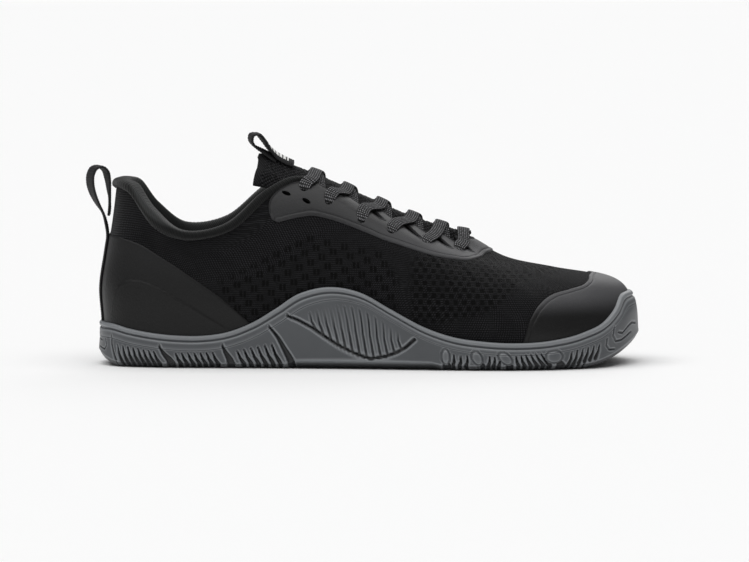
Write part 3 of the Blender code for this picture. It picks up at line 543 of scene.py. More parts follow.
def along_side(x):
    """Distance in mm along the sole's outer side, from the heel, to where it passes x in mm."""
    return np.interp(
        x, SIDE[:, 0], np.concatenate([[0], np.cumsum(np.linalg.norm(np.diff(SIDE, axis=0), axis=1))]),
    )


SIDE = outline(np.linspace(0, 1, 800)) / MM


def cut_into(depth, u, z, line, narrow, wide, deep):
    """Deepens the relief, in mm, along a line of points, from narrow at its start to wide at its end."""
    line = np.array([(along_side(x), height) for x, height in line])
    low, high = line.min(axis=0) - wide, line.max(axis=0) + wide
    near = (u > low[0]) & (u < high[0]) & (z > low[1]) & (z < high[1])
    p = np.stack([u[near], z[near]], axis=-1)
    found = depth[near]
    for i, (a, b) in enumerate(zip(line, line[1:])):
        share = np.clip(((p - a) @ (b - a)) / ((b - a) @ (b - a)), 0, 1)
        away = np.linalg.norm(p - a - share[:, None] * (b - a), axis=1)
        half = (narrow + (wide - narrow) * (i + share) / (len(line) - 1)) / 2
        found = np.maximum(found, deep * smooth(half - away, -0.25, 0.35))
    depth[near] = found


def side_relief(u, z, band):
    """Depth of the cuts and height of the ovals at each point of the side, in mm."""
    depth = np.zeros(u.shape)
    for row in CLAWS:
        for share in np.linspace(0, 1, row.count):
            top = np.array(
                [
                    row.top_x + (row.last_top_x - row.top_x) * share,
                    row.top_z + (row.last_top_z - row.top_z) * share,
                ]
            )
            foot = np.array(
                [
                    row.foot_x + (row.last_foot_x - row.foot_x) * share,
                    row.foot_z + (row.last_foot_z - row.foot_z) * share,
                ]
            )
            bend = (top + foot) / 2 - np.array([CLAW_LEAN * np.sign(foot[0] - top[0]) * 0.6, 0])
            cut_into(depth, u, z, (top, bend, foot), 0.3, 2.3, CLAW_DEPTH)
    for cut in CUTS:
        cut_into(depth, u, z, cut.line, cut.narrow, cut.wide, cut.deep)
    for x in np.linspace(FIRST_FIN, LAST_FIN, FINS):
        foot = (x + FIN_LEAN, np.interp(x + FIN_LEAN, *np.array(WAIST_CUT).T))
        top = (x, np.interp(along_side(x), u[:, 0], band) - 3.5)
        middle = (x + 0.1, (foot[1] + top[1]) / 2)
        cut_into(depth, u, z, (top, middle, foot), 0.2, 1.3, 0.9)
    swell = np.zeros(u.shape)
    for oval in OVALS:
        a, b = u - along_side(oval.x), z - oval.z
        c, s = math.cos(oval.lean), math.sin(oval.lean)
        away = np.hypot((a * c + b * s) / oval.half_width, (b * c - a * s) / oval.half_height)
        swell = np.maximum(swell, 0.9 * np.sqrt(np.clip(1 - away**2, 0, 1)))
        depth = np.where(away < 1.25, 0.3 * smooth(away, 0.92, 1.1), depth)
    return depth, swell


half = SOLE_COLUMNS // 2
q = np.arange(half + 1) / half
top, foot = sole_top(along_of(q)), feather(q)[:, 2]
flat = outline(q)
waist_bevel = smooth(flat[:, 0] / MM, -41, -33) * (1 - smooth(flat[:, 0] / MM, 34, 42))
corner = tread_height(flat[:, 0]) + (2.6 + 1.6 * waist_bevel) * MM
line = band_line(along_of(q))

# Rows of points from the rim down to the lower edge, as heights and how far each stands out.
rows = [(top - roll.under * MM, np.full(len(q), roll.out)) for roll in RIM]
rows += [
    (top - line + near * MM, np.full(len(q), out))
    for near, out in ((0.6, 0.1), (0.3, 0.1), (0.15, -0.15), (-0.05, -0.15), (-0.25, 0.0))
]
start = top - line - 0.6 * MM
rows += [
    (start + (corner - start) * share, np.full(len(q), -0.05))
    for share in np.linspace(0, 1, PANEL_ROWS)
]
height = np.stack([row[0] for row in rows], axis=1)
out_by = np.stack([row[1] for row in rows], axis=1)

share = np.clip((height - foot[:, None]) / (top - foot)[:, None], 0, 1)
thick = GAP + SOLE_WALL + (RIM_WALL - SOLE_WALL) * share
thick[:, 0] = GAP + 0.8 * MM
u = np.concatenate([[0], np.cumsum(np.linalg.norm(np.diff(flat, axis=0), axis=1))]) / MM
u = np.broadcast_to(u[:, None], height.shape)
cuts, ovals = side_relief(u, height / MM, (top - line) / MM)


def face_at(heights, off):
    """Points of the sole's side at each height, standing off the last."""
    def side(at):
        on = np.broadcast_to(at[:, None], heights.shape)
        points = last(on, level_at(on, heights))
        points[..., :2] += outward(on) * off[..., None]
        points[..., 2] = heights
        return points
    near, far = side(q), side(2 - q)
    return np.concatenate([near, far[1:-1][::-1]])


def edge_at(inset, above):
    """Points under the side's lower edge."""
    def side(at):
        ground = outline(at) - outward(at) * inset[:, None]
        return np.concatenate([ground, (tread_height(ground[:, 0]) + above)[:, None]], axis=-1)
    near, far = side(q), side(2 - q)
    return np.concatenate([near, far[1:-1][::-1]])


walls = face_at(height, thick + (out_by + ovals - cuts) * MM)
low_cut = cuts[:, -1]
floor = foot - GAP
seat = [
    face_at(np.stack([floor + (top - 0.7 * MM - floor) * s], axis=1), np.full((half + 1, 1), SEAT))[:, 0]
    for s in (0, 0.33, 0.66, 1)
]
under = []
for inset, above, sharp_inset, sharp_above, notch in (
    (1.0, 1.9, 2.2, 2.6, 0.9), (1.6, 1.2, 3.6, 1.7, 0.9), (2.6, 0.55, 5.0, 1.0, 0.8),
    (4.0, 0.12, 6.4, 0.4, 0.5), (5.6, 0, 7.8, 0, 0),
):
    inward = (inset + (sharp_inset - inset) * waist_bevel + low_cut * notch) * MM
    raised = (above + (sharp_above - above) * waist_bevel + low_cut * notch * 0.6) * MM
    under.append(edge_at(inward, raised))
rings = np.stack(seat + [walls[:, j] for j in range(walls.shape[1])] + under, axis=1)

# The tread between the lower edges: bowed bars with grooves between them.
BAR_STEP = 7.5
GROOVE = 1.1
TREAD_ROWS = 16
near, far = rings[: half + 1, -1], np.concatenate([rings[:1, -1], rings[half:, -1][::-1]])
across = np.linspace(0, 1, TREAD_ROWS + 2)[1:-1]
ground = near[:, None] + (far - near)[:, None] * across[:, None]
bend = 4 * across * (1 - across)
phase = ground[..., 0] / MM / BAR_STEP - 1.1 * bend
bars = smooth(np.abs(phase - np.round(phase)) * BAR_STEP, 0.5, 1.2)
ends = smooth(np.minimum(q, 1 - q), 0.02, 0.05)[:, None]
ground[..., 2] = tread_height(ground[..., 0]) + GROOVE * MM * (1 - bars) * ends * smooth(bend, 0.1, 0.4)

columns, levels = rings.shape[:2]
i, j = np.meshgrid(np.arange(columns), np.arange(levels - 1), indexing="ij")
a, b = i * levels + j, (i + 1) % columns * levels + j
faces = np.stack([a, a + 1, b + 1, b], axis=-1).reshape(-1, 4).tolist()
points = rings.reshape(-1, 3)
start = len(points)
points = np.concatenate([points, ground[1:-1].reshape(-1, 3)])
bottom = np.empty((half + 1, TREAD_ROWS + 2), int)
bottom[:, 0] = np.arange(half + 1) * levels + levels - 1
bottom[:, -1] = (-np.arange(half + 1)) % columns * levels + levels - 1
bottom[1:-1, 1:-1] = start + np.arange((half - 1) * TREAD_ROWS).reshape(half - 1, TREAD_ROWS)
bottom[0, 1:-1] = bottom[0, 0]
bottom[-1, 1:-1] = bottom[-1, 0]
for here, ahead in zip(bottom, bottom[1:]):
    for k in range(TREAD_ROWS + 1):
        face = list(dict.fromkeys((here[k], here[k + 1], ahead[k + 1], ahead[k])))
        if len(face) > 2:
            faces.append([int(v) for v in face])
for k in range(half):
    face = list(
        dict.fromkeys(
            (k * levels, (k + 1) * levels, (columns - k - 1) * levels, (columns - k) % columns * levels)
        )
    )
    faces.append(face)
mesh = bpy.data.meshes.new("rubber_outsole")
mesh.from_pydata(points.tolist(), [], faces)
mesh.shade_smooth()
mesh.set_sharp_from_angle(angle=0.9)
outsole = bpy.data.objects.new("rubber_outsole", mesh)
bpy.context.scene.collection.objects.link(outsole)
# Painted shade for each point: the relief of the cuts on the side, 0.8 under the lower edge and 0.6 on the
# tread.
deep = np.zeros((columns, levels))
seen = np.concatenate([cuts, cuts[1:-1][::-1]])
deep[:, 4:4 + seen.shape[1]] = seen
deep[:, 4 + seen.shape[1]:] = 0.8
values = np.concatenate([deep.ravel(), np.full(len(points) - start, 0.6)])
mesh.attributes.new("depth", "FLOAT", "POINT").data.foreach_set("value", values)

# Carbon-filled rubber straight from the mould: mid grey, satin, with a fine spark-eroded grain.
# The grain is drawn at 0.5 mm, twice its real size. Sharp crests are painted paler as painted
# highlight, and the cuts, the underside of the lower edge and the tread darker as painted shade.
rubber, tree, shader = blank("moulded_rubber", 0.42)
place = add(tree, "ShaderNodeTexCoord").outputs["Object"]
grain = add(tree, "ShaderNodeTexNoise", {"Vector": place, "Scale": 2000.0, "Detail": 2.0}).outputs["Fac"]
cloudy = add(tree, "ShaderNodeTexNoise", {"Vector": place, "Scale": 60.0, "Detail": 3.0}).outputs["Fac"]
deep = add(tree, "ShaderNodeAttribute", attribute_name="depth").outputs["Fac"]
tone = add(
    tree, "ShaderNodeMix", {"Factor": cloudy, "A": srgb("4a4c4f"), "B": srgb("55585b")}, data_type="RGBA",
)
# Painted highlight: sharp crests, where pointiness is high, are painted paler grey.
painted_crest_highlight = add(tree, "ShaderNodeNewGeometry").outputs["Pointiness"]
painted_crest_highlight = add(
    tree, "ShaderNodeMapRange", {"Value": painted_crest_highlight, "From Min": 0.502, "From Max": 0.53, "To Max": 0.8},
).outputs["Result"]
tone = add(
    tree, "ShaderNodeMix", {"Factor": painted_crest_highlight, "A": tone.outputs["Result"], "B": srgb("85888b")},
    data_type="RGBA",
)
# Painted shade: the colour goes towards near black with the depth attribute.
shade = add(
    tree, "ShaderNodeMapRange",
    {"Value": deep, "From Min": 0.1, "From Max": 1.2, "To Min": 0.0, "To Max": 0.9},
).outputs["Result"]
dark = add(
    tree, "ShaderNodeMix", {"Factor": shade, "A": tone.outputs["Result"], "B": srgb("0e0e0f")},
    data_type="RGBA",
)
tree.links.new(dark.outputs["Result"], shader.inputs["Base Color"])
bump = add(tree, "ShaderNodeBump", {"Height": grain, "Strength": 0.25, "Distance": 0.0002})
tree.links.new(bump.outputs["Normal"], shader.inputs["Normal"])
wear(outsole, rubber, "sole_rubber", "outsole")


# Insole. A loose die-cut sheet of open-cell foam under a thin knit, dropped into the shoe.

INSOLE_THICKNESS = 3.6 * MM
at = np.linspace(0.03, 0.97, 140)
inset = SOLE_WALL + UPPER_WALL + 3 * GAP
near = outline(at) - outward(at) * inset
far = outline(2 - at) - outward(2 - at) * inset
across = np.sin(np.linspace(-np.pi / 2, np.pi / 2, 41)) / 2 + 0.5
flat = near[:, None] + (far - near)[:, None] * across[:, None]
base = spring(flat[..., 0]) + OUTSOLE_BASE + GAP
rise = 0.8 * MM * np.abs(2 * across - 1) ** 6 - 0.5 * MM * (1 - np.abs(2 * across - 1) ** 0.3)
over = np.concatenate([flat, (base + INSOLE_THICKNESS + rise)[..., None]], axis=-1)
below = np.concatenate([flat, base[..., None]], axis=-1)
insole = shell("foam_insole", over, below, flat / MM)

# Polyester sock lining on foam: dark grey, flat, with a small diamond weave of 2 mm.
lining, tree, shader = blank("sock_lining", 0.95)
place = add(tree, "ShaderNodeUVMap", uv_map="cloth").outputs["UV"]
turned = add(tree, "ShaderNodeMapping", {"Vector": place, "Rotation": (0, 0, math.pi / 4)}).outputs["Vector"]
weave = add(
    tree, "ShaderNodeTexChecker",
    {"Vector": turned, "Scale": 1 / 1.4, "Color1": srgb("1b1b1c"), "Color2": srgb("29292b")},
)
tree.links.new(weave.outputs["Color"], shader.inputs["Base Color"])
bump = add(tree, "ShaderNodeBump", {"Height": weave.outputs["Fac"], "Strength": 0.3, "Distance": 0.0002})
tree.links.new(bump.outputs["Normal"], shader.inputs["Normal"])
wear(insole, lining, "insole_foam", "insole")


# Toe cap, heel counter and eyestay. Thin films of thermoplastic polyurethane, hot-pressed on the
# knit so that they sink into it, with a moulded line beside their edges. They end under the sole's
# rim, and the eyestay's edge is scalloped between the laces.

# How far up the last an edge lies at q.
Reach = namedtuple("Reach", "q t")
TOE_CAP_TOP = (
    Reach(0.733, 0.095), Reach(0.739, 0.150), Reach(0.747, 0.212), Reach(0.765, 0.297),
    Reach(0.790, 0.365), Reach(0.820, 0.408), Reach(0.858, 0.424), Reach(0.893, 0.428),
    Reach(0.922, 0.447), Reach(0.948, 0.470), Reach(1.000, 0.485),
)
COUNTER_TOP = (
    Reach(0.000, 0.712), Reach(0.025, 0.707), Reach(0.092, 0.690), Reach(0.143, 0.670),
    Reach(0.182, 0.660), Reach(0.217, 0.643), Reach(0.245, 0.600), Reach(0.268, 0.537),
    Reach(0.285, 0.460), Reach(0.300, 0.357), Reach(0.315, 0.262), Reach(0.322, 0.220),
)
COUNTER_ARCH = (
    Reach(0.000, 0.020), Reach(0.062, 0.100), Reach(0.072, 0.260), Reach(0.090, 0.380),
    Reach(0.110, 0.430), Reach(0.140, 0.440), Reach(0.170, 0.425), Reach(0.205, 0.385),
    Reach(0.245, 0.300), Reach(0.285, 0.190), Reach(0.322, 0.080),
)
EYESTAY_LOW = (
    Reach(0.4375, 0.810), Reach(0.440, 0.785), Reach(0.446, 0.763), Reach(0.455, 0.748),
    Reach(0.473, 0.723), Reach(0.492, 0.693), Reach(0.512, 0.637), Reach(0.537, 0.577),
    Reach(0.568, 0.543), Reach(0.605, 0.553), Reach(0.660, 0.580), Reach(0.703, 0.620),
    Reach(0.730, 0.643), Reach(0.787, 0.737), Reach(0.875, 0.853), Reach(0.940, 0.875),
    Reach(1.000, 0.880),
)
EYESTAY_TOP = (
    Reach(0.4375, 0.815), Reach(0.440, 0.850), Reach(0.446, 0.900), Reach(0.455, 0.935),
    Reach(0.470, 0.960), Reach(0.500, 0.970), Reach(0.530, 0.975), Reach(0.545, 1.000),
    Reach(1.000, 1.000),
)

# A film's edge in section: how far it stands off the knit at each distance inside the edge, in mm.
Edging = namedtuple("Edging", "inside off")
PRESSED_EDGE = (
    Edging(0.0, 0.0), Edging(0.08, 0.3), Edging(0.25, 0.52), Edging(0.5, 0.65), Edging(0.9, 0.72),
    Edging(1.5, 0.72), Edging(2.0, 0.7), Edging(2.25, 0.62), Edging(2.45, 0.42), Edging(2.65, 0.42),
    Edging(2.85, 0.6), Edging(3.2, 0.68), Edging(4.0, 0.7),
)
RIMMED_EDGE = (
    Edging(0.0, 0.0), Edging(0.06, 0.45), Edging(0.2, 0.8), Edging(0.45, 0.95), Edging(0.7, 0.85),
    Edging(0.9, 0.62), Edging(1.1, 0.55), Edging(1.6, 0.62), Edging(2.4, 0.68),
)
PLAIN_EDGE = (Edging(0.0, 0.0), Edging(0.08, 0.25), Edging(0.25, 0.42), Edging(0.6, 0.5), Edging(1.2, 0.55))


def reach(table, q):
    return spline([r.q for r in table], [r.t for r in table], np.where(q > 1, 2 - q, np.abs(q)))


def levels_inside(q, edge, section, sign):
    """The t of points that lie a section's distances inside an edge, below it or, with sign 1, above."""
    small = 1e-3
    here = last(q, edge)
    rise = (here - last(q, edge - small)) / small / MM
    per_t = np.linalg.norm(rise, axis=-1)
    run = np.gradient(here, axis=0)
    run /= np.linalg.norm(run, axis=-1, keepdims=True)
    slant = np.sqrt(np.clip(1 - ((rise / per_t[:, None]) * run).sum(axis=-1) ** 2, 0.12, 1))
    return edge[:, None] + sign * np.array([e.inside for e in section]) / (per_t * slant)[:, None]


def film(name, q, low, high, low_section, high_section, rows, extra=None):
    """A film between two edges, with a section at each, or none where the lower edge is hidden."""
    high = np.maximum(high, low + 0.004)
    top = levels_inside(q, high, high_section, -1)[:, ::-1]
    off = [np.broadcast_to([e.off for e in high_section][::-1], top.shape)]
    parts = [top]
    start = low[:, None]
    if low_section:
        base = levels_inside(q, low, low_section, 1)
        parts.insert(0, base)
        off.insert(0, np.broadcast_to([e.off for e in low_section], base.shape))
        start = base[:, -1:]
    share = np.linspace(0, 1, rows + 2)[None, (1 if low_section else 0):-1]
    between = start + (top[:, :1] - start) * share
    level = (low_section or high_section)[-1].off
    parts.insert(len(parts) - 1, between)
    off.insert(len(off) - 1, level + (high_section[-1].off - level) * np.broadcast_to(share, between.shape))
    t, off = np.concatenate(parts, axis=1), np.concatenate(off, axis=1)
    middle = (low + high)[:, None] / 2
    squeezed = np.clip(t, low[:, None], high[:, None])
    thin = np.clip(np.abs(high - low) / 0.03, 0.0, 1)[:, None]
    grid = np.broadcast_to(q[:, None], t.shape)
    squeezed = np.sort(squeezed, axis=1)
    face, out = last(grid, squeezed), normals(grid, squeezed)
    up = np.concatenate(
        [np.zeros((len(q), 1)), np.cumsum(np.linalg.norm(np.diff(face, axis=1), axis=-1), axis=1)],
        axis=1,
    ) / MM
    up += (squeezed[:, :1] * 90)
    height = off * thin * MM
    if extra is not None:
        height = height + extra(grid, squeezed) * thin * MM
    return shell(
        name, face + out * np.maximum(height, 0.02 * MM)[..., None], face - out * 0.3 * MM,
        np.stack([grid * 350, up], axis=-1),
    )


def under_rim(q):
    return level_at(q, sole_top(along_of(q)) - 0.6 * MM)


q = np.linspace(0.733, 1.267, 520)
toe_cap = film(
    "pressed_toe_cap", q, under_rim(q), np.maximum(reach(TOE_CAP_TOP, q), under_rim(q)), None,
    PRESSED_EDGE, 26,
)


def arch_step(q, t):
    """The counter is thicker inside its arched line."""
    arch = reach(COUNTER_ARCH, q)
    line = np.exp(-(((arch - t) / 0.006) ** 2))
    return 0.45 * smooth(arch - t, -0.004, 0.006) + 0.3 * line


q = np.linspace(-0.322, 0.322, 460)
low = under_rim(q)
counter = film(
    "pressed_heel_counter", q, low, np.maximum(reach(COUNTER_TOP, q), low), None, PLAIN_EDGE, 60,
    arch_step,
)

SPARE_EYELETS = (Reach(0.485, 0.905), Reach(0.503, 0.787))
EYELET_RADIUS = 2.0 * MM
SPARE_WIDTH = 5.0 * MM
SPARE_HEIGHT = 2.3 * MM
SPARE_TILT = math.radians(-58)


def eyelet_line(q):
    """Where the line of eyelets lies on the last, below the rim at q."""
    rims = [e.rim for e in EYELETS]
    return spline(rims, [e.q for e in EYELETS], q), spline(rims, [e.t for e in EYELETS], q)


q = np.linspace(0.4375, 1.5625, 860)
edge = np.minimum(reach(EYESTAY_TOP, q), rim_top(q))
eyestay = film("pressed_eyestay", q, reach(EYESTAY_LOW, q), edge, PRESSED_EDGE, RIMMED_EDGE, 14)

# Each eyelet is punched through film and knit: a cylinder is turned to face straight out, and all
# of them cut at once.
punches = []
for hole in EYELETS + SPARE_EYELETS:
    for side in (hole.q, 2 - hole.q):
        place, out = (f(np.array([side]), np.array([hole.t]))[0] for f in (last, normals))
        run = last(np.array([side + 0.002 * (1 if side < 1 else -1)]), np.array([hole.t]))[0] - place
        spare = hole in SPARE_EYELETS
        bpy.ops.mesh.primitive_cylinder_add(vertices=28, radius=1, depth=9 * MM, location=(0, 0, 0))
        punch = bpy.context.object
        x_axis = Vector(run).normalized()
        z_axis = Vector(out)
        y_axis = z_axis.cross(x_axis).normalized()
        x_axis = y_axis.cross(z_axis)
        turn = SPARE_TILT if side < 1 else -SPARE_TILT
        if spare:
            x_axis, y_axis = (
                x_axis * math.cos(turn) + y_axis * math.sin(turn),
                y_axis * math.cos(turn) - x_axis * math.sin(turn),
            )
        wide, high = (SPARE_WIDTH / 2, SPARE_HEIGHT / 2) if spare else (EYELET_RADIUS, EYELET_RADIUS)
        for v in punch.data.vertices:
            v.co = Vector(place) + x_axis * v.co.x * wide + y_axis * v.co.y * high + z_axis * v.co.z
        punches.append(punch)
bpy.ops.object.select_all(action="DESELECT")
for punch in punches:
    punch.select_set(True)
bpy.context.view_layer.objects.active = punches[0]
bpy.ops.object.join()
punch = punches[0]
for target in (eyestay, upper):
    made = target.modifiers.new("eyelets", "BOOLEAN")
    made.object = punch
    made.solver = "MANIFOLD"
    bpy.context.view_layer.objects.active = target
    bpy.ops.object.modifier_apply(modifier="eyelets")
bpy.data.objects.remove(punch)
bpy.ops.object.select_all(action="DESELECT")

# Painted light on the films, by height: the toe cap and the counter are painted lighter towards
# the top, where the light from above falls, and the eyestay lighter low down.
def lightness_by_height(piece, low, high, least, most):
    z = np.array([v.co.z for v in piece.data.vertices]) / MM
    values = least + (most - least) * smooth(z, low, high)
    piece.data.attributes.new("lightness_by_height", "FLOAT", "POINT").data.foreach_set("value", values)


lightness_by_height(toe_cap, 26, 38, 0.02, 1.0)
lightness_by_height(counter, 30, 64, 0.0, 0.1)
lightness_by_height(eyestay, 52, 84, 0.85, 0.25)

# Polyurethane film pressed over knit: charcoal, satin, with the knit's bumps showing through and
# a scatter of fine light specks. The bumps are drawn 1.1 mm apart.
pressed, tree, shader = blank("pressed_polyurethane_film", 0.48)
shader.inputs["Specular IOR Level"].default_value = 0.32
place = add(tree, "ShaderNodeUVMap", uv_map="cloth").outputs["UV"]
cells = add(tree, "ShaderNodeTexVoronoi", {"Vector": place, "Scale": 1 / 1.1}).outputs["Distance"]
specks = add(
    tree, "ShaderNodeTexNoise", {"Vector": place, "Scale": 1.6, "Detail": 3.0, "Roughness": 0.8},
).outputs["Fac"]
speck = add(
    tree, "ShaderNodeMapRange", {"Value": specks, "From Min": 0.55, "From Max": 0.78},
).outputs["Result"]
lightness_by_height = add(tree, "ShaderNodeAttribute", attribute_name="lightness_by_height").outputs["Fac"]
# Painted light: the base colour runs from near black to grey with the lightness by height, and the specks
# show more where it is lighter.
ground = add(
    tree, "ShaderNodeMix", {"Factor": lightness_by_height, "A": srgb("090909"), "B": srgb("4a4a4c")}, data_type="RGBA",
)
shown = math_node(tree, "ADD", math_node(tree, "MULTIPLY", lightness_by_height, 0.45), 0.15)
speck = math_node(tree, "MULTIPLY", speck, shown)
tone = add(
    tree, "ShaderNodeMix", {"Factor": speck, "A": ground.outputs["Result"], "B": srgb("5c5c5e")},
    data_type="RGBA",
)
tree.links.new(tone.outputs["Result"], shader.inputs["Base Color"])
bump = add(tree, "ShaderNodeBump", {"Height": cells, "Strength": 0.25, "Distance": 0.0003})
tree.links.new(bump.outputs["Normal"], shader.inputs["Normal"])
wear(toe_cap, pressed, "film", "toe_cap")
wear(counter, pressed, "film", "heel_counter")
wear(eyestay, pressed, "film", "eyestay")


# Collar cuff. Ribbed lining knit with a foam core, folded over the collar and turned under at a
# seam along its outer side, so that it stands out as a roll.

CUFF_LOW = (
    Reach(0.000, 0.962), Reach(0.100, 0.968), Reach(0.140, 0.950), Reach(0.170, 0.903),
    Reach(0.200, 0.866), Reach(0.233, 0.866), Reach(0.285, 0.922), Reach(0.320, 0.944),
    Reach(0.362, 0.950), Reach(0.405, 0.950), Reach(0.450, 0.952), Reach(0.500, 0.957),
    Reach(0.560, 0.962),
)
CUFF_THICKNESS = 1.7 * MM
CUFF_INSIDE = 0.78
CUFF_END = 0.556
CUFF_ROWS = 34

q = np.linspace(-CUFF_END, CUFF_END, 720)
low, ends = reach(CUFF_LOW, q), np.full(len(q), 1.0)
out = normals(q, ends * 0.97)
up = last(q, ends) - last(q, ends * 0.97)
up /= np.linalg.norm(up, axis=-1, keepdims=True)
top, deep = last(q, ends), wall(q, ends)[:, None]
inside_edge = CUFF_INSIDE + 0.16 * (np.abs(q) / CUFF_END) ** 6


def cuff_sheet(off):
    """Seven lines of points over the collar, from the seam outside to the edge inside."""
    return np.stack([
        last(q, low) + normals(q, low) * (0.1 * MM + off * 0.1),
        last(q, (low * 0.55 + 0.45)) + out * (0.5 * MM + off),
        top + out * (0.2 * MM + off * 0.9) + up * off * 0.5,
        top - out * deep / 2 + up * (0.3 * MM + off),
        top - out * (deep + 0.2 * MM + off * 0.8) + up * off * 0.4,
        last(q, (inside_edge + 1) / 2) - out * (wall(q, (inside_edge + 1) / 2)[:, None] + 0.3 * MM + off),
        last(q, inside_edge) - normals(q, inside_edge) * (
            wall(q, inside_edge)[:, None] + 0.1 * MM + off * 0.3
        ),
    ], axis=1)


def finer(lines, count):
    """More rows along the second axis, on smooth curves through the given ones."""
    knots, at = np.linspace(0, 1, lines.shape[1]), np.linspace(0, 1, count)
    return np.stack(
        [
            spline(
                knots, lines[:, :, axis].repeat(count, axis=0), np.tile(at, len(lines)),
            ).reshape(len(lines), count)
            for axis in range(3)
        ],
        axis=-1,
    )


face, back = finer(cuff_sheet(CUFF_THICKNESS), CUFF_ROWS), finer(cuff_sheet(0.1 * MM), CUFF_ROWS)
step = np.linalg.norm(np.gradient(face[:, CUFF_ROWS // 3], axis=0), axis=-1)
girth = (np.cumsum(step) / MM)[:, None] * np.ones(CUFF_ROWS)
over = np.cumsum(np.linalg.norm(np.gradient(face, axis=1), axis=-1), axis=1) / MM
thickness = face - back
ribs = np.sin(girth * 2 * np.pi / 2.0)
face += thickness / np.linalg.norm(thickness, axis=-1, keepdims=True) * (0.06 * MM * ribs)[..., None]
cuff = shell("lining_cuff", face, back, np.stack([girth, over], axis=-1))

# Brushed polyester lining knit: charcoal black, soft, ribbed across the roll every 1 mm, with a
# sheen where light grazes its nap. The part turned inside the collar is painted lighter, as
# painted light on the lining seen inside the shoe.
lining_knit, tree, shader = blank("brushed_lining_knit", 0.9)
shader.inputs["Sheen Weight"].default_value = 0.2
shader.inputs["Specular IOR Level"].default_value = 0.2
shader.inputs["Sheen Roughness"].default_value = 0.5
place = add(tree, "ShaderNodeUVMap", uv_map="cloth").outputs["UV"]
ribs = add(
    tree, "ShaderNodeTexWave",
    {"Vector": place, "Scale": ONE_PER_MM, "Distortion": 1.2, "Detail": 2.0, "Detail Scale": 1.5},
    bands_direction="X",
).outputs["Fac"]
fuzz = add(tree, "ShaderNodeTexNoise", {"Vector": place, "Scale": 1.5, "Detail": 4.0}).outputs["Fac"]
height = add(tree, "ShaderNodeMath", {0: ribs, 1: fuzz}, operation="ADD").outputs[0]
# Painted light: the cuff is painted lighter from 7 to 10 mm over the roll onward, on its inner side.
painted_light_inside = add(tree, "ShaderNodeSeparateXYZ", {0: place}).outputs["Y"]
painted_light_inside = add(
    tree, "ShaderNodeMapRange", {"Value": painted_light_inside, "From Min": 7.0, "From Max": 10.0},
).outputs["Result"]
outer_tone = add(
    tree, "ShaderNodeMix", {"Factor": ribs, "A": srgb("080909"), "B": srgb("131414")}, data_type="RGBA",
).outputs["Result"]
inner_tone = add(
    tree, "ShaderNodeMix", {"Factor": ribs, "A": srgb("232424"), "B": srgb("424343")}, data_type="RGBA",
).outputs["Result"]
tone = add(tree, "ShaderNodeMix", {"Factor": painted_light_inside, "A": outer_tone, "B": inner_tone}, data_type="RGBA")
tree.links.new(tone.outputs["Result"], shader.inputs["Base Color"])
bump = add(tree, "ShaderNodeBump", {"Height": height, "Strength": 0.4, "Distance": 0.0003})
tree.links.new(bump.outputs["Normal"], shader.inputs["Normal"])
wear(cuff, lining_knit, "lining_knit", "collar_cuff")


# Tongue. A padded tongue of coarse moss-stitch knit over foam, sewn in at the toe end of the
# throat, with its upper end free behind the top lace.

CROWN = 3.0 * MM
TONGUE_THICKNESS = 3.4 * MM
TONGUE_EDGE = 1.6 * MM
FREE_FROM = 0.57
FREE_LENGTH = 32 * MM
FREE_RISE = 12.5 * MM
FREE_TAPER = 0.36
FREE_DROP = 9.5 * MM
TONGUE_COLUMNS = 112
FREE_ROWS = 66


def throat(q, s):
    """A surface over the throat: s runs from the outer eyelets, 0, over the tongue to the inner."""
    q, s = np.broadcast_arrays(np.asarray(q, float), np.asarray(s, float))
    shape, q, s = q.shape, q.ravel(), s.ravel()
    low_q, low_t = eyelet_line(q)
    side = [(low_q, low_t), ((low_q + q) / 2, (low_t + 1) / 2), (q, np.ones(len(q)))]
    near = [last(a, t) for a, t in side]
    far = [last(2 - a, t) for a, t in reversed(side)]
    middle = (near[2] + far[0]) / 2 + np.array([0, 0, CROWN])
    across = np.stack(near + [middle] + far, axis=1)
    knots = (0, 0.15, 0.3, 0.5, 0.7, 0.85, 1)
    points = [spline(knots, across[:, :, axis], s) for axis in range(3)]
    return np.stack(points, axis=-1).reshape(shape + (3,))


def throat_normals(q, s):
    small = 2e-3
    along = throat(q + small, s) - throat(q - small, s)
    across = throat(q, np.clip(s + small, 0, 1)) - throat(q, np.clip(s - small, 0, 1))
    out = np.cross(along, across)
    return out / np.linalg.norm(out, axis=-1, keepdims=True)


def sheet_normals(points):
    """Unit vectors out of a grid of points."""
    out = np.cross(np.gradient(points, axis=0), np.gradient(points, axis=1))
    return out / np.linalg.norm(out, axis=-1, keepdims=True)

at = np.linspace(FREE_FROM, 0.935, 170)[:, None]
edge = 0.1 - 0.07 * smooth(at, FREE_FROM, 0.62)
s = edge + (1 - 2 * edge) * np.linspace(0, 1, TONGUE_COLUMNS)
at = np.broadcast_to(at, s.shape)
t = 1 - (1 - eyelet_line(at)[1]) * (0.3 - np.minimum(s, 1 - s)).clip(0) / 0.3
under = wall(at, t) + 2 * GAP
centre = smooth(0.18 - np.abs(s - 0.5), 0, 0.12) * smooth(0.93 - at, 0, 0.06)
laid = throat(at, s) - throat_normals(at, s) * (under * (1 - centre))[..., None]
free = []
for share in np.linspace(1, 0, FREE_ROWS, endpoint=False):
    row = laid[0] + np.array([-FREE_LENGTH, 0, FREE_RISE]) * share
    row[:, 1] = row[:, 1].mean() + (row[:, 1] - row[:, 1].mean()) * (1 - FREE_TAPER * share**0.5)
    row[:, 2] -= FREE_DROP * share**0.7 * np.linspace(-1, 1, len(row)) ** 2
    free.append(row)
face = np.concatenate([free, laid])
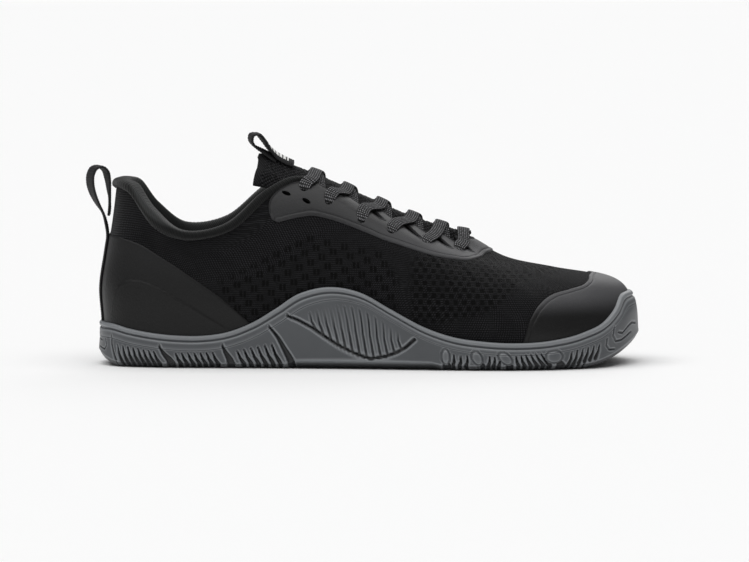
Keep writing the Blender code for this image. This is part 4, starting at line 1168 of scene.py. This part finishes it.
for _ in range(60):
    bend = slice(FREE_ROWS - 24, FREE_ROWS + 24)
    middle = face[bend]
    face[bend] = (face[FREE_ROWS - 25:FREE_ROWS + 23] + 2 * middle + face[FREE_ROWS - 23:FREE_ROWS + 25]) / 4

rows = len(face)
down = np.cumsum(
    np.linalg.norm(np.gradient(face[:, TONGUE_COLUMNS // 2], axis=0), axis=-1)
)[:, None] / MM * np.ones(TONGUE_COLUMNS)
over = np.cumsum(np.linalg.norm(np.gradient(face, axis=1), axis=-1), axis=1) / MM
over -= over[:, TONGUE_COLUMNS // 2][:, None]
out = sheet_normals(face)
side = np.abs(np.linspace(-1, 1, TONGUE_COLUMNS))
thick = TONGUE_EDGE + (TONGUE_THICKNESS - TONGUE_EDGE) * np.cos(side * np.pi / 2)

# Moss stitch: bumps 2.6 mm apart in rows that are set off by half a step, uneven as knit is.
STITCH = 2.6
wander = 0.35 * np.sin(down * 0.9 + over * 0.4) + 0.3 * np.sin(over * 1.3 - down * 0.5)
bumps = np.sin(2 * np.pi * (down + wander) / STITCH) * np.sin(2 * np.pi * (over + wander) / (STITCH * 0.9))
rounded = 1 - np.sqrt(np.clip(1 - np.clip((side - 0.9) / 0.1, 0, 1) ** 2, 0, 1))
end = 1 - np.sqrt(np.clip(1 - np.clip((3.0 - down) / 3.0, 0, 1) ** 2, 0, 1))
sink = np.maximum(rounded * thick * 0.5, end * thick * 0.5)
smooth_band = smooth(down, 3, 5)
face_out = face - out * sink[..., None] + out * (0.5 * MM * bumps * smooth_band)[..., None]
back = face - out * (thick - sink * 0.9)[..., None]
tongue = shell("moss_knit_tongue", face_out, back, np.stack([down, over], axis=-1))
point_value(tongue, "bump", bumps * smooth_band)

# Moss-stitch polyester knit: black, matt, each stitch painted lighter on its crown as painted
# light and darker in the gaps as painted shade.
moss, tree, shader = blank("moss_stitch_knit", 0.92)
shader.inputs["Sheen Weight"].default_value = 0.12
shader.inputs["Specular IOR Level"].default_value = 0.2
shader.inputs["Sheen Roughness"].default_value = 0.45
place = add(tree, "ShaderNodeUVMap", uv_map="cloth").outputs["UV"]
crown = add(tree, "ShaderNodeAttribute", attribute_name="bump").outputs["Fac"]
yarn = add(
    tree, "ShaderNodeTexWave",
    {"Vector": place, "Scale": ONE_PER_MM / 0.8, "Distortion": 2.0, "Detail": 2.0},
    bands_direction="DIAGONAL",
).outputs["Fac"]
raised = add(
    tree, "ShaderNodeMapRange", {"Value": crown, "From Min": -0.6, "From Max": 0.9},
).outputs["Result"]
lit = add(tree, "ShaderNodeMath", {0: raised, 1: yarn}, operation="MULTIPLY").outputs[0]
tone = add(tree, "ShaderNodeMix", {"Factor": lit, "A": srgb("0a0a0b"), "B": srgb("3c3c3e")}, data_type="RGBA")
tree.links.new(tone.outputs["Result"], shader.inputs["Base Color"])
bump = add(tree, "ShaderNodeBump", {"Height": yarn, "Strength": 0.4, "Distance": 0.0003})
tree.links.new(bump.outputs["Normal"], shader.inputs["Normal"])
wear(tongue, moss, "tongue_knit", "tongue")


# Laces. One flat woven cord runs up through the eyelets in crosses. Each stretch comes from under
# the tab of one side, over the tongue and over the other side's tab, and down into the next eyelet
# toward the ankle. The toe end is a straight bar, and the ends are tucked in at the top.

LACE_WIDTH = 6.6 * MM
LACE_THICKNESS = 1.15 * MM
LACE_OVER = LACE_THICKNESS * 1.05
LACE_STEPS = 110
RING = 18

# A stretch on its way from eyelet to eyelet: lift is its height over the throat's surface in mm,
# width its share of the full width, ahead how much nearer the toe it is than where it ends.
Way = namedtuple("Way", "along lift width ahead")
CROSSING = (
    Way(0.000, -3.6, 0.70, 1.00), Way(0.080, -3.0, 0.90, 0.86), Way(0.220, -2.7, 1.00, 0.58),
    Way(0.300, -1.9, 1.00, 0.45), Way(0.370, -0.5, 1.00, 0.38), Way(0.440, 0.9, 1.00, 0.31),
    Way(0.500, 1.3, 1.00, 0.25), Way(0.580, 1.4, 1.00, 0.19), Way(0.680, 1.7, 1.00, 0.12),
    Way(0.800, 1.8, 1.00, 0.06), Way(0.900, 1.7, 1.00, 0.02), Way(0.945, 1.5, 0.97, 0.00),
    Way(0.975, 0.9, 0.86, 0.00), Way(0.993, -0.6, 0.68, 0.00), Way(1.000, -3.4, 0.55, 0.00),
)
BAR = (
    Way(0.000, -3.4, 0.55, 0.00), Way(0.007, -0.6, 0.68, 0.02), Way(0.025, 0.9, 0.86, 0.08),
    Way(0.055, 1.6, 1.00, 0.17), Way(0.150, 1.8, 1.00, 0.45), Way(0.300, 1.9, 1.00, 0.81),
    Way(0.500, 1.6, 1.00, 1.00), Way(0.700, 1.9, 1.00, 0.81), Way(0.850, 1.8, 1.00, 0.45),
    Way(0.945, 1.6, 1.00, 0.17), Way(0.975, 0.9, 0.86, 0.08), Way(0.993, -0.6, 0.68, 0.02),
    Way(1.000, -3.4, 0.55, 0.00),
)
BAR_BOW = 0.034


def lace(name, start, end, ways, lift=0.0):
    """A flat cord over the throat from one q, s to another."""
    along = [w.along for w in ways]
    at = np.interp(
        np.linspace(0, 1, LACE_STEPS), np.linspace(0, 1, 4 * len(along) - 3),
        spline(np.arange(len(along)), along, np.linspace(0, len(along) - 1, 4 * len(along) - 3)),
    )
    pace = np.cumsum(
        np.linalg.norm(
            np.stack([np.gradient(at) * 60, np.gradient(spline(along, [w.lift for w in ways], at))]),
            axis=0,
        )
    )
    at = np.interp(np.linspace(pace[0], pace[-1], LACE_STEPS), pace, at)
    q = end[0] + (start[0] - end[0]) * spline(along, [w.ahead for w in ways], at)
    s = start[1] + (end[1] - start[1]) * at
    high = spline(
        along, [w.lift for w in ways], at,
    ) + lift * smooth(at, 0.3, 0.45) * smooth(1 - at, 0.3, 0.45)
    out = throat_normals(q, s)
    middle = throat(q, s) + out * (high * MM)[:, None]
    side = np.cross(out, np.gradient(throat(q, s), axis=0))
    side /= np.linalg.norm(side, axis=-1, keepdims=True)
    tangent = np.gradient(middle, axis=0)
    face = np.cross(tangent, side)
    face /= np.linalg.norm(face, axis=-1, keepdims=True)
    share = spline(along, [w.width for w in ways], at)
    turn = np.arange(RING) * 2 * np.pi / RING
    wide = np.sign(np.cos(turn)) * np.abs(np.cos(turn)) ** 0.55 * LACE_WIDTH / 2
    tall = np.sign(np.sin(turn)) * np.abs(np.sin(turn)) ** 0.75 * LACE_THICKNESS / 2
    tall = tall[None, :] * (1 + 0.5 * (1 - share))[:, None]
    rings = (
        middle[:, None]
        + side[:, None] * (wide * share[:, None])[..., None]
        + face[:, None] * tall[..., None]
    )
    gone = np.concatenate([[0], np.cumsum(np.linalg.norm(np.diff(middle, axis=0), axis=1))]) / MM
    faces, maps = [], []
    for i in range(LACE_STEPS - 1):
        for k in range(RING):
            m = (k + 1) % RING
            faces.append((i * RING + k, i * RING + m, (i + 1) * RING + m, (i + 1) * RING + k))
            across = [wide[k] / MM, wide[m] / MM, wide[m] / MM, wide[k] / MM]
            maps += list(zip((gone[i], gone[i], gone[i + 1], gone[i + 1]), across))
    faces += [tuple(range(RING - 1, -1, -1)), tuple((LACE_STEPS - 1) * RING + k for k in range(RING))]
    maps += [(0, 0)] * (2 * RING)
    mesh = bpy.data.meshes.new(name)
    mesh.from_pydata(rings.reshape(-1, 3).tolist(), [], faces)
    mesh.uv_layers.new(name="cloth").data.foreach_set("uv", np.array(maps).ravel())
    mesh.shade_smooth()
    made = bpy.data.objects.new(name, mesh)
    bpy.context.scene.collection.objects.link(made)
    bpy.ops.object.select_all(action="DESELECT")
    made.select_set(True)
    bpy.context.view_layer.objects.active = made
    bpy.ops.object.mode_set(mode="EDIT")
    bpy.ops.mesh.select_all(action="SELECT")
    bpy.ops.mesh.normals_make_consistent(inside=False)
    bpy.ops.object.mode_set(mode="OBJECT")
    bpy.ops.object.select_all(action="DESELECT")
    return made


# Braided polyester cord: dark grey, lengthwise ribs 1.1 mm apart and a pick across every 1.5 mm,
# with light filaments where they cross. Both are a little coarser than real.
braid, tree, shader = blank("woven_lace_cord", 0.8)
shader.inputs["Specular IOR Level"].default_value = 0.3
place = add(tree, "ShaderNodeUVMap", uv_map="cloth").outputs["UV"]
parts = add(tree, "ShaderNodeSeparateXYZ", {0: place})
picks = add(
    tree, "ShaderNodeTexWave",
    {"Vector": place, "Scale": ONE_PER_MM / 1.5, "Distortion": 0.6, "Detail": 1.0}, bands_direction="X",
).outputs["Fac"]
ribs = add(
    tree, "ShaderNodeTexWave",
    {"Vector": place, "Scale": ONE_PER_MM / 1.1, "Distortion": 0.2, "Detail": 0.0}, bands_direction="Y",
).outputs["Fac"]
crossing = add(tree, "ShaderNodeMath", {0: picks, 1: ribs}, operation="MULTIPLY").outputs[0]
flecks = add(tree, "ShaderNodeTexNoise", {"Vector": place, "Scale": 0.9, "Detail": 2.0}).outputs["Fac"]
light = add(tree, "ShaderNodeMath", {0: crossing, 1: flecks}, operation="MULTIPLY").outputs[0]
light = add(tree, "ShaderNodeMapRange", {"Value": light, "From Min": 0.1, "From Max": 0.55}).outputs["Result"]
tone = add(
    tree, "ShaderNodeMix", {"Factor": light, "A": srgb("171718"), "B": srgb("9a9a9d")}, data_type="RGBA",
)
tree.links.new(tone.outputs["Result"], shader.inputs["Base Color"])
bump = add(tree, "ShaderNodeBump", {"Height": crossing, "Strength": 0.6, "Distance": 0.0003})
tree.links.new(bump.outputs["Normal"], shader.inputs["Normal"])

for i, (ankle, toe) in enumerate(zip(EYELETS, EYELETS[1:])):
    lower = lace(f"lace_under_{i + 1}", (toe.rim, 0), (ankle.rim, 1), CROSSING)
    upper_one = lace(f"lace_over_{i + 1}", (toe.rim, 1), (ankle.rim, 0), CROSSING, LACE_OVER / MM)
    wear(lower, braid, "lace_cord")
    wear(upper_one, braid, "lace_cord", f"lace_{i + 1}")
toe_end = EYELETS[-1].rim
bar = lace("lace_toe_bar", (toe_end + BAR_BOW, 0), (toe_end, 1), BAR)
wear(bar, braid, "lace_cord", "lace_bar")


# Pull loops. Ribbed polyester tape: one runs up the back seam from the sole and stands off the
# heel as a loop, the other is folded over the tongue's end and sewn down on both sides.

TAPE = 1.2 * MM
Tape = namedtuple("Tape", "x z bow twist")
HEEL_LOOP = (
    Tape(-0.3, 5.1, 0.4, 0.0), Tape(-1.4, 9.1, 0.3, 0.06), Tape(-4.2, 14.1, 0.1, 0.20),
    Tape(-6.7, 19.6, 0, 0.30), Tape(-8.0, 25.1, 0, 0.34), Tape(-7.7, 29.6, 0, 0.34),
    Tape(-5.9, 32.8, 0, 0.34), Tape(-3.0, 33.6, 0, 0.34), Tape(-0.3, 31.6, 0, 0.32),
    Tape(1.0, 27.1, 0, 0.26), Tape(1.6, 21.6, 0, 0.16), Tape(1.9, 16.1, 0.3, 0.05),
    Tape(1.8, 12.1, 0.4, 0.0), Tape(1.4, 8.3, 0.4, 0.0),
)
HEEL_LOOP_WIDTH = 12 * MM
SEAM_TOP = 0.72
SEAM_OFF = 1.12 * MM
TONGUE_LOOP = (
    Tape(17.8, -4.7, -2.4, 0.0), Tape(13.3, -2.6, -2.8, 0.0), Tape(8.8, -0.1, -2.8, 0.05),
    Tape(5.1, 3.2, -2.2, 0.12), Tape(2.3, 6.8, -1.2, 0.18), Tape(-1.1, 9.7, -0.4, 0.2),
    Tape(-3.9, 8.9, 0, 0.18), Tape(-4.4, 6.0, 0, 0.15), Tape(-2.6, 3.5, -0.4, 0.1),
    Tape(0.6, 1.9, -1.4, 0.05), Tape(4.2, 0.2, -2.2, 0.0), Tape(8.6, -2.1, -2.8, 0.0),
)
TONGUE_LOOP_WIDTH = 15 * MM
RIB_STEP = 1.25


def tape(name, path, width, start, steps, columns=17):
    """A ribbed band along a path in mm that begins at the point start."""
    knots = np.concatenate([[0], np.cumsum(np.linalg.norm(np.diff(path[:, :2], axis=0), axis=1))])
    at = np.linspace(0, knots[-1], steps)
    x, z, bow, twist = (spline(knots, path[:, i], at)[:, None] for i in range(4))
    run = np.gradient(np.concatenate([x, z], axis=-1), axis=0)
    out = np.stack([-run[:, 1], 0 * run[:, 0], run[:, 0]], axis=-1)
    out /= np.linalg.norm(out, axis=-1, keepdims=True)
    across = np.linspace(-1, 1, columns)
    rounded = np.sqrt(np.clip(1 - np.clip((np.abs(across) - 0.86) / 0.14, 0, 1) ** 2, 0.02, 1))
    ribs = 1 + 0.14 * np.sin(at * 2 * np.pi / RIB_STEP)
    middle = np.zeros((steps, columns, 3))
    middle[..., 0] = start[0] + (x + bow.clip(min=0) * across**2) * MM
    middle[..., 0] -= across * width / 2 * np.sin(twist)
    middle[..., 1] = start[1] + across * width / 2 * np.cos(twist)
    middle[..., 2] = start[2] + (z + bow.clip(max=0) * across**2) * MM
    half = out[:, None] * (TAPE / 2 * rounded * ribs[:, None])[..., None]
    cloth = np.stack(np.broadcast_arrays(at[:, None], across * width / 2 / MM), axis=-1)
    return shell(name, middle + half, middle - half, cloth)


q = np.zeros(14)
t = np.linspace(float(under_rim(q)[0]) + 0.01, SEAM_TOP, 14)
seam = last(q, t)
stand = np.linspace(SEAM_OFF, SEAM_OFF + 0.15 * MM, 14)
start = seam[-1] - np.array([2.55 * MM, 0, 0])
up = [(x + 2.55 - off, z, 0.4, 0) for (x, _, z), off in zip((seam - seam[-1]) / MM, stand / MM)]
heel_loop = tape(
    "heel_pull_loop", np.array(up[:-1] + [tuple(p) for p in HEEL_LOOP], float), HEEL_LOOP_WIDTH, start,
    460,
)

end = face[0][TONGUE_COLUMNS // 2]
tongue_loop = tape("tongue_pull_loop", np.array(TONGUE_LOOP, float), TONGUE_LOOP_WIDTH, end, 260)

# Plain white bars woven into the tape's upper face, across it, near the toe end.
WHITE_FROM = 3.0
WHITE_TO = 17.0
WHITE_STEP = 2.3
WHITE_REACH = 5.4
at = np.array([loop.uv for loop in tongue_loop.data.uv_layers["cloth"].data])
corner = np.array([loop.vertex_index for loop in tongue_loop.data.loops])
outer = np.arange(len(tongue_loop.data.vertices)) < len(tongue_loop.data.vertices) // 2
white = np.zeros(len(outer))
white[corner] = (at[:, 0] > WHITE_FROM) & (at[:, 0] < WHITE_TO) & (np.abs(at[:, 1]) < WHITE_REACH)
tongue_loop.data.attributes.new("bars", "FLOAT", "POINT").data.foreach_set("value", white * ~outer)

# Polyester webbing: black, satin, ribbed across every 1.25 mm.
webbing, tree, shader = blank("ribbed_webbing", 0.7)
shader.inputs["Specular IOR Level"].default_value = 0.3
place = add(tree, "ShaderNodeUVMap", uv_map="cloth").outputs["UV"]
rib = add(
    tree, "ShaderNodeTexWave", {"Vector": place, "Scale": ONE_PER_MM / 1.25}, bands_direction="X",
).outputs["Fac"]
warp = add(
    tree, "ShaderNodeTexWave", {"Vector": place, "Scale": ONE_PER_MM / 0.6, "Distortion": 0.5},
    bands_direction="Y",
).outputs["Fac"]
woven = add(tree, "ShaderNodeMath", {0: rib, 1: warp}, operation="MULTIPLY").outputs[0]
tone = add(
    tree, "ShaderNodeMix", {"Factor": woven, "A": srgb("0e0e0f"), "B": srgb("2b2b2d")}, data_type="RGBA",
)
bars = add(tree, "ShaderNodeAttribute", attribute_name="bars").outputs["Fac"]
along_tape = add(tree, "ShaderNodeSeparateXYZ", {0: place}).outputs["X"]
gaps = math_node(tree, "LESS_THAN", math_node(tree, "WRAP", along_tape, WHITE_STEP, 0), WHITE_STEP * 0.68)
bars = math_node(tree, "MULTIPLY", math_node(tree, "GREATER_THAN", bars, 0.5), gaps)
tone = add(
    tree, "ShaderNodeMix", {"Factor": bars, "A": tone.outputs["Result"], "B": srgb("e8e8e6")},
    data_type="RGBA",
)
tree.links.new(tone.outputs["Result"], shader.inputs["Base Color"])
bump = add(tree, "ShaderNodeBump", {"Height": woven, "Strength": 0.4, "Distance": 0.0003})
tree.links.new(bump.outputs["Normal"], shader.inputs["Normal"])
wear(heel_loop, webbing, "webbing", "heel_loop")
wear(tongue_loop, webbing, "webbing", "tongue_loop")


# Camera and light. A long lens from the outer side, a little above the shoe, on a pale floor
# under wide soft lights, as a product is photographed.

CENTRE = Vector((5.6, -45, 45.6)) * MM
DISTANCE = 4.0
ELEVATION = math.radians(4.3)
WIDTH_SEEN = 384.0 * MM

camera = bpy.data.objects.new("camera", bpy.data.cameras.new("camera"))
bpy.context.scene.collection.objects.link(camera)
camera.data.sensor_width = 36
camera.data.lens = 36 * DISTANCE / WIDTH_SEEN
back = Vector((0, -math.cos(ELEVATION), math.sin(ELEVATION)))
camera.location = CENTRE + back * DISTANCE
camera.rotation_euler = (-back).to_track_quat("-Z", "Y").to_euler()
bpy.context.scene.camera = camera

bpy.ops.mesh.primitive_plane_add(size=60, location=(0, 0, -0.0002))
floor = bpy.context.object
floor.name = "floor"
paper, tree, shader = blank("white_paper", 0.9)
shader.inputs["Base Color"].default_value = srgb("fbfbfb")
floor.data.materials.append(paper)

world = bpy.data.worlds.new("studio")
bpy.context.scene.world = world
world.use_nodes = True
world.node_tree.nodes["Background"].inputs["Color"].default_value = (1, 1, 1, 1)
world.node_tree.nodes["Background"].inputs["Strength"].default_value = 0.14

# Wide soft lights that fall evenly on the whole floor: how far each leans to +Y and to +X from
# straight down, how wide it is, in degrees, and its strength.
Glow = namedtuple("Glow", "name lean_y lean_x width strength")
GLOWS = (
    Glow("overhead", 8, -8, 80, 2.48),
    Glow("behind", -58, 12, 40, 0.5),
    Glow("front", 62, -20, 60, 0.12),
)
for row in GLOWS:
    lamp = bpy.data.objects.new(row.name, bpy.data.lights.new(row.name, "SUN"))
    bpy.context.scene.collection.objects.link(lamp)
    lamp.data.angle = math.radians(row.width)
    lamp.data.energy = row.strength
    lamp.rotation_euler = (math.radians(row.lean_y), math.radians(row.lean_x), 0)
bpy.context.scene.view_settings.view_transform = "Standard"
